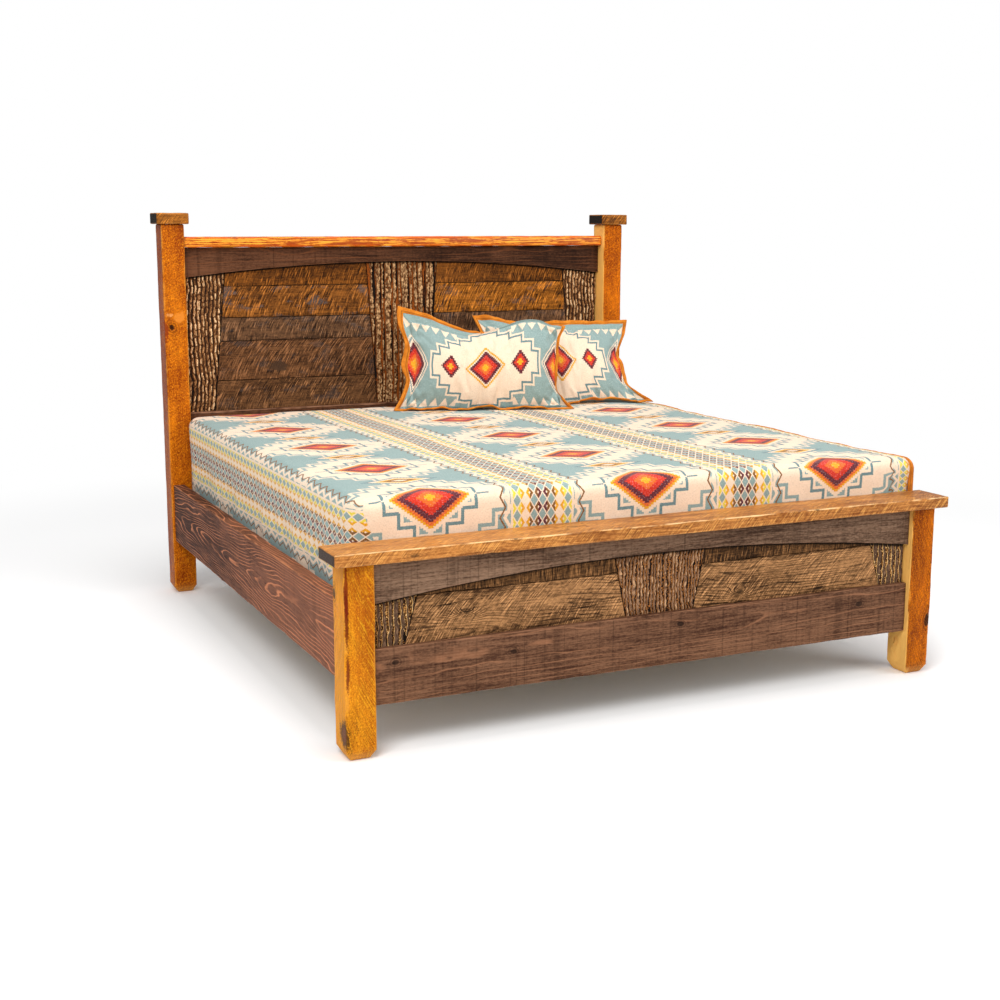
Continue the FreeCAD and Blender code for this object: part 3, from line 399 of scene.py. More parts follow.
def wood(name, dark, light, line, rim, ring=0.012, lines=0.5, fine=0.62, taper=0.012, wander=0.05, speck=150.0,
         mottle=0.5, streak=0.4, arcs=None, bands=0.0, patches=0.0, knots=(), axis=0, rims=0.5,
         butt=(60, 46, 38), gloss=0.6, fuzz=0.0006, lacquer=0.0, glints=0.0, stains_and_highlights=(), knot_dark=0.9,
         cracks=0.0, swirls=0.35, drawn_out=0.45, under=None):
    """Sawn and stained wood, from the note "grain": along, across and into the tree.

    The year rings are the level sets of the distance from the tree's heart, plus a taper along the grain and
    a slow wander, so a flat-sawn face shows nested arches. Over them lie specks, clouds and fibres stretched
    along the grain; saw marks, which are arcs (gap, radius, offset, share) of one radius that step along
    the board; bands across; grey patches; knots (place, width, length) that push the rings aside; the rim
    colour on the long edges, which is the wood's own edge colour and wear on most timbers, partly a painted
    highlight along the bench's top edges and painted shade in the joints round the planks; painted glints;
    stains, two of which are partly a painted highlight on a post; bare wood where the note "raw" says; dark
    butt ends; and a painted shadow in the gap under an apron."""
    made = Finish(name, specular_ior_level=0.07, coat_weight=lacquer, coat_roughness=0.3)
    grain = made.note("grain", "Vector")
    along, across, into = made.split(grain)
    tone, wear_and_shading, bare, end = (made.note(label) for label in ("tone", "wear_and_shading", "raw", "end"))

    def haze(run, side, detail=2, rough=0.55):
        """Noise over the grain, scaled along it and across it."""
        return made.noise(grain, 1.0, detail, rough, (run, side, side))

    def paint(share, shade, times=1.0, plus=0):
        """Lays a shade, times a factor plus a number, over the colour so far."""
        nonlocal colour
        colour = made.blend(share, colour, tint(*[min(255, c * times + plus) for c in shade]))

    slow, ripple = haze(1.6, 7.0) - 0.5, haze(9.0, 30.0, 3) - 0.5
    reach = (across * across + into * into) ** 0.5
    deep = reach + along * taper + slow * wander + ripple * 0.006
    core = halo = swirl = None
    for centre, wide, long in knots:
        oval = made.spot(centre, wide, long, axis) + ripple * 1.8
        pull = (oval * oval * -0.12).step("EXPONENT")
        deep = deep + pull * (wide * 5.0 * swirls)
        bud = 1.0 - oval.rise(0.55, 0.9)
        edge = (oval * 1.5).part().rise(0.3, 0.7) * oval.rise(0.5, 0.8) * (1.0 - oval.rise(1.4, 2.3))
        core, halo, swirl = (new if so_far is None else so_far.most(new)
                             for so_far, new in ((core, bud), (halo, edge), (swirl, pull)))
    phase = (deep / ring).part()
    late = phase.rise(fine, 0.88) * (1.0 - phase.rise(0.9, 1.0))
    strong = late * (swirl * swirls + lines if knots else lines) * haze(4.0, 18.0).rise(0.32, 0.6)
    speckle = made.noise(grain, speck, 3, 0.7, (drawn_out, 1.0, 1.0))
    fibre, fleck, cloud = haze(7.0, 190.0, 3, 0.7), haze(60.0, 900.0, 2, 0.6), haze(3.0, 11.0, 4, 0.6)
    body = ((speckle - 0.5) * (mottle * 3.2) + (cloud - 0.5) * (mottle * 3.0) + (fibre - 0.5) * (streak * 3.0)
            + (fleck - 0.5) * 0.4 + tone)
    colour = made.blend(body.rise(0.0, 1.0), tint(*dark), tint(*light))
    height = speckle * 0.8 + fleck * 0.4 + fibre * 0.5 * streak - strong * 0.6
    if arcs:
        gap, radius, offset, share = arcs
        aside = across + into - offset
        step = (along + (radius * radius - aside * aside) ** 0.5) / gap + cloud * 1.6
        cut = (made.noise(made.join(step, along * 9.0, aside * 26.0), 1.0, 2, 0.5) - 0.5) * 5.0
        cut = cut * (haze(8.0, 17.0).rise(0.30, 0.55) * 0.65 + 0.35)
        paint(cut.rise(0.05, 0.95) * share, light, 1.28, 8)
        paint((cut * -1.0).rise(0.05, 0.95) * share, dark, 0.5)
        height = height + cut * share * 1.2
    if bands:
        strip = haze(62.0, 0.8, 2, 0.75)
        paint(strip.rise(0.52, 0.72) * bands, dark, 0.62)
        paint(haze(14.0, 0.5, 1, 0.5).rise(0.58, 0.68) * bands * 0.6, dark, 0.72)
        paint((1.0 - strip.rise(0.22, 0.45)) * bands * 0.5, light)
        height = height - strip * bands
    if cracks:
        split = made.noise(made.join(along * 7.0, across * 60.0, into * 75.0 + slow * 7.0), 1.0, 3, 0.6)
        split = split.rise(0.57, 0.66) * haze(4.0, 9.0).rise(0.35, 0.6)
        paint(split * cracks, dark, 0.42)
        height = height - split * cracks * 2.0
    paint(strong, line)
    if patches:
        shown = (speckle.rise(0.25, 0.6) * 0.5 + 0.5) * (1.0 - cut.rise(-0.1, 0.5) * 0.75)
        paint(haze(8.0, 18.0, 4, 0.65).rise(0.52, 0.64) * patches * shown, (96, 92, 92))
    # The rim colour on the long edges: wear on most timbers, partly a painted highlight along the bench's top
    # edges, painted shade in the joints round the planks
    paint(wear_and_shading * haze(14.0, 14.0, 3).rise(0.35, 0.6) * rims, rim)
    if knots:
        paint(halo * (0.5 * knot_dark), dark, 0.5)
        paint(core * knot_dark, dark, 0.28)
        height = height - core * 1.5
    if glints:
        paint(speckle.rise(0.60, 0.76) * glints, light, 1.2, 22)
    # Stains, and painted highlights laid on in the same way
    for centre, wide, long, shade in stains_and_highlights:
        mark = made.spot(centre, wide, long, axis) + ripple * 2.2 + (speckle - 0.5) * 1.1
        paint((1.0 - mark.rise(0.55, 1.05)) * 0.88, shade)
    pale = made.blend((fleck * 0.5 + strong * 0.5 + fibre * 0.4).rise(0.3, 0.9), BARE, BARE_GRAIN)
    colour = made.blend(bare, colour, pale)
    year = (reach / (ring * 0.55)).part().rise(0.3, 0.9)
    coarse = made.noise(made.place(), 260.0)
    butted = made.blend((year * 0.4 + coarse * 0.7).rise(0.2, 1.0),
                        *(tint(*[c * k for c in butt]) for k in (0.7, 1.35)))
    colour = made.blend(end, colour, butted)
    # A painted shadow in the gap under the apron of this end
    if under:
        colour = shaded(made, colour, under)
    shine = (speckle - 0.5) * 0.3 + gloss + end * 0.2 + bare * 0.15
    return made.done(colour, shine, height, fuzz)


def shaded(made, colour, end):
    """A colour darkened by a painted shadow in the gap just under the arched apron of the head or the foot."""
    middle_tall, gap = APRONS[end]
    low, high = corners(f"{end}_apron")
    x, _, z = made.split(made.place())
    below = (1.0 - x * x / high[0] ** 2) * (high[2] - low[2] - middle_tall) + low[2] - z
    return made.blend((1.0 - below.rise(gap * 0.55, gap)) * 0.86, colour, tint(10, 6, 3))


def bark_finish(name, end, *stops):
    """Bark: a colour for each height, (height, colour), by the note "relief", broken up by grit that is
    stretched along the trunk and by slower clouds. The darkest low colours are painted shade in the furrows,
    and the palest high ones partly a painted highlight on the crests, over the bark's own colours; under
    the apron of its end lies a painted shadow."""
    made = Finish(name, specular_ior_level=0.2)
    grit = made.noise(made.place(), 1.0, 4, 0.7, (250.0, 250.0, 110.0))
    cloud = made.noise(made.place(), 1.0, 3, 0.6, (28.0, 28.0, 9.0))
    high = made.note("relief") + (grit - 0.5) * 0.75 + (cloud - 0.5) * 0.4
    colour = shaded(made, made.ramp(high, [(place, tint(*shade)) for place, shade in stops]), end)
    return made.done(colour, 0.86, grit + cloud * 0.6, 0.0020, 1.0)


SAGE, DEEP_SAGE, CREAM, WINE, RED, ORANGE, GOLD, UMBER, LEMON = (tint(*shade) for shade in (
    (143, 166, 162), (108, 137, 139), (247, 220, 192), (98, 32, 42), (208, 46, 20), (226, 104, 30),
    (234, 166, 22), (132, 84, 28), (236, 214, 70)))


def overlaid(made, colour, *layers):
    """A colour with others laid over it, each by its share: (share, colour) or (share, colour, kind)."""
    for share, above, *kind in layers:
        colour = made.blend(share, colour, above, *kind)
    return colour


def woven(name, draw):
    """Woven wool. draw works out the picture's colour from the cloth's own two coordinates in metres, which
    a nap shifts by a millimetre or two; over it lie a heather of mixed threads, a cord and a little sheen."""
    made = Finish(name, roughness=0.95, specular_ior_level=0.1, sheen_weight=0.15, sheen_roughness=0.6)
    source = made.node("ShaderNodeUVMap", uv_map="cloth").outputs[0]
    nap = made.noise(source, 380.0, 2.0, 0.5, output="Color", noise_dimensions="2D")
    shift = made.vector("SUBTRACT", nap, (0.5, 0.5, 0.5))
    u, v, _ = made.split(made.vector("MULTIPLY_ADD", shift, (0.004, 0.004, 0.0), source))
    fine, heather = made.noise(source, 640.0, 3, 0.75), made.noise(source, 190.0, 3, 0.7)
    coarse = made.noise(source, 22.0, 3, 0.6)
    colour = overlaid(made, draw(made, u, v),
                      (fine.rise(0.38, 0.7) * 0.25, tint(110, 110, 106), "MULTIPLY"),
                      (heather.rise(0.5, 0.75) * 0.4, tint(168, 166, 160), "MULTIPLY"),
                      ((1.0 - heather.rise(0.25, 0.48)) * 0.25, (1, 1, 1, 1)),
                      ((coarse - 0.35) * 0.25, tint(150, 146, 134), "MULTIPLY"))
    cord = (u * 900.0 + v * 520.0).step("SINE") * 0.5 + 0.5
    return made.done(colour, None, fine * 0.8 + cord * 0.3 + coarse * 0.6 + heather * 0.6, 0.0009)


def stepped(value, step):
    """A number brought down to whole steps, as a weaver counts threads."""
    return ((value / step).whole() + 0.5) * step


def swing(value, period):
    """The distance from the nearest whole period, so 0 at each repeat and half a period in between."""
    return ((value / period + 0.5).part() - 0.5).size() * period


def terraced(across, along, terraces):
    """How far a place lies outside a terraced lozenge made of crossing rectangles: the least, over them, of
    the larger of across less the half width and along less the half height. Negative inside."""
    return functools.reduce(Reading.least, [(across - wide).most(along - tall) for wide, tall in terraces])


def layered(made, value, reach, rings):
    """Flat colours by a number: each (limit, colour) holds below its limit, in units of reach from -reach."""
    starts = [0.0] + [min(1.0, max(0.0, (limit + reach) / (2 * reach))) for limit, _ in rings[:-1]]
    stops = [(start, shade) for start, (_, shade) in zip(starts, rings)]
    return made.ramp((value + reach) / (2 * reach), stops, True)


def blanket_picture(made, u, v):
    """Columns that run from head to foot on sage: broad ones with terraced lozenges outlined in cream round a
    small warm lozenge with finely stepped edges, and narrow ones with a lattice of little lozenges, wine in
    the middle and lemon outside, between thin zigzags."""
    wide, tall, thread = 0.74, 0.50, 0.0085
    across, along = swing(u, wide), swing(v, tall)
    outside = terraced(across, along, [(0.232, 0.042), (0.192, 0.085), (0.147, 0.128), (0.097, 0.168),
                                       (0.045, 0.205)])
    ground = layered(made, outside, 0.12, [(-0.060, SAGE), (-0.050, CREAM), (-0.040, DEEP_SAGE),
                                           (0.006, CREAM), (0.017, SAGE), (0.027, CREAM), (0.12, SAGE)])
    warm = stepped(across, thread) / 0.152 + along / 0.112
    heart = made.ramp(warm / 1.3, [(0.0, GOLD), (0.10, ORANGE), (0.22, RED), (0.38, WINE), (0.52, ORANGE),
                                   (0.60, GOLD), (0.66, CREAM)], True)
    between = stepped(across, thread) / 0.135 + swing(v + tall / 2, tall) / 0.062
    gem = made.ramp(between, [(0.0, CREAM), (0.22, UMBER), (0.42, GOLD), (0.62, CREAM),
                              (0.80, DEEP_SAGE)], True)
    side = swing(u + wide / 2, wide)
    column = side.under(0.101)
    lattice = swing(side + 0.0145, 0.029) / 0.0145 + swing(v, 0.044) / 0.022
    lively = made.ramp(side * 10.0, [(0.0, WINE), (0.145, UMBER), (0.435, GOLD), (0.725, LEMON)], True)
    quiet = made.ramp(side * 10.0, [(0.0, SAGE), (0.435, CREAM), (0.725, SAGE)], True)
    zig = side + swing(v, 0.060) * 0.6
    return overlaid(made, ground, (warm.under(1.0), heart), (between.under(0.98), gem),
                    (side.under(0.108), CREAM),
                    (column * lattice.under(0.86), lively), (column * lattice.under(0.22), CREAM),
                    (column * lattice.over(1.14), quiet), (zig.over(0.122) * zig.under(0.134), CREAM),
                    (zig.over(0.141) * zig.under(0.147), UMBER))


def pillow_picture(made, u, v):
    """A terraced lozenge in cream with double outlines; in it a big warm lozenge between two small ones,
    all with stepped edges; nested triangles at both ends and a row of teeth along the long seams."""
    across, along, thread = u.size(), v.size(), 0.0072
    outside = terraced(across, along, [(0.240, 0.030), (0.208, 0.064), (0.162, 0.094), (0.105, 0.120),
                                       (0.050, 0.142)])
    ground = layered(made, outside, 0.1, [(-0.03, CREAM), (0.005, CREAM), (0.013, DEEP_SAGE), (0.021, CREAM),
                                          (0.1, SAGE)])
    big = stepped(across, thread) / 0.104 + along / 0.094
    side = stepped((across - 0.166).size(), thread) / 0.046 + along / 0.052
    tip = (0.338 - across).size() / 0.074 + stepped(along, thread) / 0.118
    rise = (0.153 - along) / 0.030
    tooth = swing(u, 0.044) / 0.019 + rise
    return overlaid(
        made, ground,
        (big.under(0.98), made.ramp(big, [(0.0, GOLD), (0.18, ORANGE), (0.34, RED), (0.56, WINE),
                                          (0.74, CREAM), (0.82, GOLD), (0.92, CREAM)], True)),
        (side.under(0.9), made.ramp(side, [(0.0, GOLD), (0.30, RED), (0.62, WINE), (0.9, CREAM)], True)),
        (tip.under(0.96), made.ramp(tip, [(0.0, GOLD), (0.2, ORANGE), (0.34, RED), (0.52, WINE),
                                          (0.70, CREAM), (0.80, DEEP_SAGE), (0.88, CREAM)], True)),
        (tooth.under(1.0) * rise.over(0.0) * across.over(0.125), CREAM))


def suede_finish():
    """Tan suede: a soft mottle, a fine pebble, and a darker line where the note "stitch" is 1: the stitches, with
    painted shade in the groove that they pinch.
    """
    made = Finish("suede", roughness=0.8, specular_ior_level=0.12, sheen_weight=0.08, sheen_roughness=0.5)
    stitch_and_shade = made.note("stitch_and_shade")
    cloud, fine = made.noise(made.place(), 26.0, 4, 0.6), made.noise(made.place(), 480.0, 3, 0.6)
    colour = made.ramp(cloud * 0.75 + fine * 0.3, [(0.3, tint(150, 78, 14)), (0.5, tint(196, 112, 26)),
                                                   (0.75, tint(226, 142, 46))])
    # Darker along the stitches: their line and painted shade in the groove they pinch
    colour = made.blend(stitch_and_shade.rise(0.45, 1.0) * 0.75, colour, tint(96, 48, 12))
    return made.done(colour, None, fine + cloud * 0.4 - stitch_and_shade * 1.5, 0.0008)


def plain_cloth(name, base, shade, gap=0.0):
    """Ticking or dust cloth: a plain weave, with a faint damask of curling bands where gap is given."""
    made = Finish(name, roughness=0.9, specular_ior_level=0.15, sheen_weight=0.15)
    fine = made.noise(made.place(), 700.0, 2)
    share = fine * 0.5
    if gap:
        x, y, z = made.split(made.place())
        band = ((x + y + z * 0.7) / gap + made.noise(made.place(), 9.0, 2) * 1.6).part()
        share = share + band.rise(0.2, 0.4) * (1.0 - band.rise(0.6, 0.8)) * 0.25
    return made.done(made.blend(share, tint(*base), tint(*shade)), None, fine + share, 0.0005, 0.6)


def steel(name, colour, wear_and_shading):
    """Zinc-plated steel, with dull patches."""
    made = Finish(name, metallic=1.0, specular_ior_level=0.5)
    cloud = made.noise(made.place(), 60.0, 4, 0.65)
    streak = made.noise(made.place(), stretch=(900.0, 900.0, 120.0))
    mixed = made.blend(cloud.rise(0.35, 0.7), tint(*colour), tint(*wear_and_shading))
    return made.done(mixed, cloud * 0.3 + 0.22 + streak * 0.1, streak, 0.0002, 0.5)


def bare_wood(name, light, dark, ring=0.012, axis=0):
    """Unfinished boards that have no grain note: rings about a line below the board, from its own place."""
    made = Finish(name, roughness=0.75)
    parts = made.split(made.place())
    along, across, into = parts[axis:] + parts[:axis]
    wander = made.noise(made.place(), 3.0) * 0.09
    into = into + 0.35
    reach = ((across * across + into * into) ** 0.5 + along * 0.02 + wander) / ring
    late = reach.part().rise(0.3, 0.9) * (1.0 - reach.part().rise(0.9, 1.0))
    fine, cloud = made.noise(made.place(), 180.0, 4, 0.7), made.noise(made.place(), 9.0)
    colour = made.blend((late * 0.6 + fine * 0.4 + cloud * 0.3 - 0.2).rise(0.0, 1.0), tint(*light), tint(*dark))
    return made.done(colour, fine * 0.2 + 0.62, fine + late * 0.6, 0.0004, 0.6)


# How tall the arched aprons are in the middle, and how far below them their painted shadow reaches
APRONS = {"head": (0.063, 0.0095), "foot": (0.061, 0.0135)}

# Posts: amber fronts, an outer face lighter on the foot-left post and darker on the head-left, pale inner faces on
# the right, bare toes


def post_raw(inner_sign, pale):
    """Bare wood on the sloping toe, and pale on the face that looks towards the middle."""
    def at(points, out):
        toe = 1 - ease(0.024, 0.032, points[:, 2])
        return np.clip(toe * 0.35 + (out[:, 0] * inner_sign > 0.5) * pale, 0, 1)
    return at


def waney(corner, wide, start, end):
    """The radii of a timber with one long edge left broad and rounded between two places."""
    def at(place, radii):
        radii = radii.copy()
        radii[:, corner] += (wide * ease(start - 0.1, start + 0.1, place)
                             * (1 - ease(end - 0.1, end + 0.1, place)))
        return radii
    return at


amber = dict(line=(150, 70, 10), ring=0.013, lines=0.3, mottle=0.62, speck=180.0, streak=0.15, drawn_out=0.8,
             rim=(240, 166, 66), butt=(120, 84, 50), gloss=0.42, fuzz=0.0024, glints=0.7, swirls=0.6, axis=2)
head_post = dict(amber, arcs=(0.0046, 0.5, -0.36, 0.2))
foot_post = dict(amber, arcs=(0.0046, 0.6, 0.40, 0.36))
# How much lighter (above 0) or darker (below 0) each post's outer face is made, the radii of its edges, and its
# wood
POSTS = {
    "head_left": (-0.30, None, dict(
        head_post, dark=(132, 50, 2), light=(222, 122, 12), knots=[((-1.032, 1.045, 1.112), 0.015, 0.018)],
        stains_and_highlights=[((-1.058, 1.048, 1.100), 0.018, 0.040, (138, 50, 14)),
                # The two pale stains above the knot: a paler flame in the wood, partly a painted highlight of its
                # gloss
                ((-1.006, 1.045, 1.152), 0.040, 0.024, (222, 132, 42)),
                ((-1.032, 1.045, 1.160), 0.022, 0.012, (234, 156, 84)),
                ((-1.032, 1.045, 1.112), 0.009, 0.010, (44, 16, 6))])),
    "head_right": (0.0, None, dict(
        head_post, dark=(124, 46, 0), light=(216, 112, 6),
        knots=[((0.950, 1.044, 1.283), 0.008, 0.012), ((1.062, 1.040, 1.226), 0.008, 0.018)])),
    "foot_left": (0.34, waney(2, 0.006, 0.05, 0.5), dict(
        foot_post, dark=(166, 80, 6), light=(238, 152, 26), mottle=0.55, speck=230.0,
        knots=[((-1.060, -1.050, 0.486), 0.012, 0.018)],
        stains_and_highlights=[((-1.0528, -1.1375, 0.51), 0.0066, 0.110, (126, 38, 6)),
                ((-1.0532, -1.1375, 0.40), 0.0080, 0.110, (108, 30, 6)),
                ((-1.0524, -1.1375, 0.28), 0.0086, 0.100, (112, 34, 12)),
                ((-1.0600, -1.1180, 0.086), 0.0360, 0.052, (40, 22, 16)),
                ((-1.0600, -1.1180, 0.084), 0.0200, 0.028, (126, 74, 46))])),
    "foot_right": (0.0, None, dict(
        foot_post, dark=(112, 40, 0), light=(214, 112, 6), mottle=0.66, speck=220.0,
        knots=[((1.052, -1.141, 0.192), 0.017, 0.028), ((0.964, -1.066, 0.108), 0.010, 0.016)])),
}
for number, (place, (outer, radii_of, look)) in enumerate(POSTS.items()):
    end, side = place.split("_")
    node = f"{end}_post_{side}"
    timber(node + "_timber", node, 2, wood(f"post_{place}", **look), edge=0.006, seed=number + 1,
           heart=(0.01, 0.09), wear=0.45, raw=post_raw(-SIDE_SIGN[side], 1.0 if side == "right" else 0.25),
           toe=(0.030, 0.018), arc=6, outer=(SIDE_SIGN[side], outer), radii_of=radii_of)

cap_wood = wood("cap_wood", (84, 44, 12), (168, 102, 34), (84, 44, 12), (206, 136, 66), butt=(32, 24, 19),
                ring=0.010, lines=0.4, arcs=(0.0046, 0.4, -0.28, 0.8), mottle=0.4, gloss=0.55, lacquer=0.05)
for number, side in enumerate(SIDE_SIGN):
    timber(f"cap_{side}", f"head_post_cap_{side}", 0, cap_wood, edge=0.005, seed=20 + number,
           heart=(0.02, -0.05), wear=0.6, step=0.012, arc=6)

# The bench, the top rail, the aprons, the lower rails and the side rails

# The bench's pale rim along its top edges is partly wear and partly a painted highlight; rubbed keeps it off the
# lower edges
bench_wood = wood("bench_wood", (122, 62, 16), (210, 140, 70), (106, 54, 18), (255, 214, 156),
                  butt=(54, 33, 17), ring=0.010, lines=0.5, mottle=0.36, streak=0.45,
                  arcs=(0.0040, 0.6, -0.38, 0.5), rims=0.75, gloss=0.36, lacquer=0.15, fuzz=0.0010,
                  knot_dark=0.65, wander=0.08,
                  knots=[((-0.535, -1.162, 0.622), 0.006, 0.009), ((0.548, -1.162, 0.622), 0.008, 0.012),
                         ((-0.853, -1.164, 0.600), 0.006, 0.020), ((0.05, -1.164, 0.606), 0.004, 0.010),
                         ((-0.30, -1.08, 0.622), 0.008, 0.016)])
timber("bench_plank", "bench_top", 0, bench_wood, tone=(0.56, 0.44), edge=0.0042, seed=30,
       heart=(0.02, -0.10), wear=0.35, step=0.014, arc=7, wear_and_shading_by_corner=(1, 1, 0.1, 0.1),
       chips=[(2, 0.478, 0.010, 0.008), (2, 0.558, 0.010, 0.005), (2, 0.9, 0.05, 0.002),
              (2, 1.641, 0.012, 0.006)])

top_rail_wood = wood("top_rail_wood", (160, 64, 0), (255, 166, 50), (142, 54, 0), (208, 86, 12), ring=0.009,
                     lines=0.9, fine=0.5, mottle=0.6, streak=2.1, speck=90.0, rims=0.95, gloss=0.3, lacquer=0.3)
timber("top_rail", "head_top_rail", 0, top_rail_wood, edge=0.010, seed=33, heart=(0.0, -0.08),
       wear=0.25, arc=7)

frame_dark = dict(dark=(56, 31, 20), light=(128, 90, 66), line=(166, 114, 82), rim=(156, 112, 84), fine=0.80,
                  mottle=0.34, streak=0.5, speck=170.0, bands=0.5, rims=0.65, gloss=0.62, butt=(70, 50, 40),
                  fuzz=0.0008, knot_dark=0.7, swirls=0.04)
FACE = corners("foot_lower_rail")[0][1]
frame_wood = wood("frame_wood", **frame_dark,
                  knots=[((-0.520, FACE, 0.266), 0.010, 0.014), ((0.067, FACE, 0.283), 0.010, 0.015),
                         ((0.768, FACE, 0.272), 0.011, 0.016), ((-0.900, FACE, 0.280), 0.012, 0.015)])
apron_wood = wood("apron_wood", **dict(frame_dark, dark=(62, 42, 30), light=(140, 110, 88),
                                       line=(150, 112, 88), lines=0.3))
head_wood = wood("head_frame_wood", **dict(frame_dark, dark=(44, 24, 14), light=(106, 68, 46),
                                           line=(130, 78, 46)))
side_wood = wood("side_rail_wood", **dict(
    frame_dark, dark=(44, 21, 14), light=(132, 84, 62), line=(218, 138, 96), lines=0.85, ring=0.0095, fine=0.66,
    bands=0.3, rim=(190, 124, 84), rims=0.9, wander=0.10, taper=0.05, axis=1),
    knots=[((-1.052, 0.645, 0.416), 0.006, 0.009), ((-1.052, -0.30, 0.345), 0.005, 0.010),
           ((1.052, 0.2, 0.36), 0.008, 0.012)])


def arched(node, middle_tall):
    """Points of a board with an arched underside: a point at height h above its foot goes up by the arch's
    rise there, rise (1 - x squared / half squared), times its share of the way down from the top."""
    low, high = corners(node)

    def at(points):
        points = points.copy()
        rise = (high[2] - low[2] - middle_tall) * (1 - (points[:, 0] / high[0]) ** 2)
        points[:, 2] += rise * (high[2] - points[:, 2]) / (high[2] - low[2])
        return points
    return at


for number, (end, apron_finish, tone, rail_finish, round_by) in enumerate((
        ("head", head_wood, (0.72, 0.22), head_wood, 0.007),
        ("foot", apron_wood, (0.54, 0.44), frame_wood, 0.003))):
    timber(f"{end}_apron_board", f"{end}_apron", 0, apron_finish, edge=0.0025, seed=36 + number,
           heart=(0.05, 0.05), tone=tone, rough=0.0005, step=0.018,
           bend=arched(f"{end}_apron", APRONS[end][0]))
    timber(f"{end}_lower_rail_board", f"{end}_lower_rail", 0, rail_finish, edge=round_by,
           seed=40 + number, heart=(0.06, 0.03))
for number, (side, sign) in enumerate(SIDE_SIGN.items()):
    timber(f"side_rail_{side}_timber", f"side_rail_{side}", 1, side_wood, seed=50 + number,
           heart=(0.0, 0.07 * sign), wear=0.5, step=0.022, tone=(0.90, 0.20),
           chips=[(1, 0.7, 0.05, 0.004), (1, 1.5, 0.03, 0.003)])

# Panels: planks with slanting ends, and bark

# Half a panel's width, and the gaps that planks keep from bark and from each other
PANEL_HALF, BARK_GAP, PLANK_GAP = 0.966, 0.001, 0.0006
# The planks' dark rim colours are painted shade in the joints round each plank; under names the apron whose painted
# shadow falls on them
plank = dict(line=(44, 24, 12), rim=(34, 18, 8), ring=0.014, lines=0.25, mottle=0.34, streak=0.3, gloss=0.62,
             rims=0.95, fuzz=0.0018, under="head")
foot_plank = dict(line=(46, 28, 16), rim=(40, 24, 12), ring=0.0085, lines=0.8, fine=0.55, mottle=0.40,
                  streak=0.3, speck=160.0, gloss=0.7, rims=0.9, fuzz=0.0024, taper=0.05, wander=0.08,
                  knot_dark=0.7, swirls=0.9, under="foot")
plank_finishes = {name: wood(f"plank_{name}", dark, light, arcs=arcs, **dict(like, **more))
                  for name, like, dark, light, arcs, more in (
    ("gold", plank, (48, 24, 8), (140, 82, 28), (0.0050, 0.46, -0.22, 0.9), {}),
    ("grey", plank, (44, 27, 18), (120, 84, 56), (0.0052, 0.46, -0.17, 0.9), dict(patches=0.3)),
    ("warm", plank, (50, 25, 8), (150, 91, 36), (0.0054, 0.46, -0.25, 1.0), dict(lines=0.4, patches=0.6)),
    ("knotty", plank, (44, 24, 12), (124, 82, 50), (0.0050, 0.46, -0.25, 0.9), dict(
        knot_dark=0.8, patches=0.2, stains_and_highlights=[((-0.565, 1.118, 0.925), 0.026, 0.044, (70, 50, 36))],
        knots=[((-0.600, 1.118, 0.906), 0.007, 0.012), ((0.62, 1.118, 0.93), 0.007, 0.011)])),
    ("amber", plank, (58, 28, 2), (176, 106, 34), (0.0054, 0.46, -0.25, 1.0), dict(lines=0.4, patches=0.35)),
    ("low", plank, (42, 24, 12), (130, 88, 54), (0.0048, 0.46, -0.21, 0.95), dict(patches=0.25)),
    ("foot", foot_plank, (56, 32, 15), (190, 138, 90), (0.0040, 0.60, -0.34, 0.6), dict(
        cracks=0.9, knots=[((-0.664, -1.098, 0.400), 0.009, 0.016), ((0.30, -1.098, 0.36), 0.006, 0.012)])),
    ("foot_top", foot_plank, (40, 24, 12), (128, 88, 52), (0.0042, 0.60, -0.10, 0.8), dict(
        lines=0.5, cracks=0.5)))}


def between(inner, outer, low, tall, left_x, right_x):
    """Points of a board whose ends slant: a point's share of the way from end to end is kept while the ends
    go from the inner to the outer line, which run straight from the panel's foot to its top."""
    def at(points):
        points = points.copy()
        share = (points[:, 0] - left_x) / (right_x - left_x)
        up = (points[:, 2] - low) / tall
        start = inner[0] + (inner[1] - inner[0]) * up
        end = outer[0] + (outer[1] - outer[0]) * up
        points[:, 0] = start + (end - start) * share
        return points
    return at


def cells(across, along, seed):
    """Distances from each point to the nearest and the next jittered grid point, and a number of that
    nearest one: a cell pattern. Works on whole arrays, once for each of nine neighbouring cells."""
    dice = np.random.default_rng(seed)
    table = dice.random((3, 64, 256))
    column, row = np.floor(across).astype(int), np.floor(along).astype(int)
    first, second, mark = np.full(across.shape, 9.0), np.full(across.shape, 9.0), np.zeros(across.shape)
    for dx in (-1, 0, 1):
        for dy in (-1, 0, 1):
            i, j = (column + dx) % 64, (row + dy) % 256
            x = column + dx + 0.5 + (table[0, i, j] - 0.5) * 0.7
            y = row + dy + 0.5 + (table[1, i, j] - 0.5) * 0.95
            gap = np.hypot(x - across, y - along)
            nearer = gap < first
            second = np.where(nearer, first, np.minimum(second, gap))
            mark = np.where(nearer, table[2, i, j], mark)
            first = np.where(nearer, gap, first)
    return second - first, mark


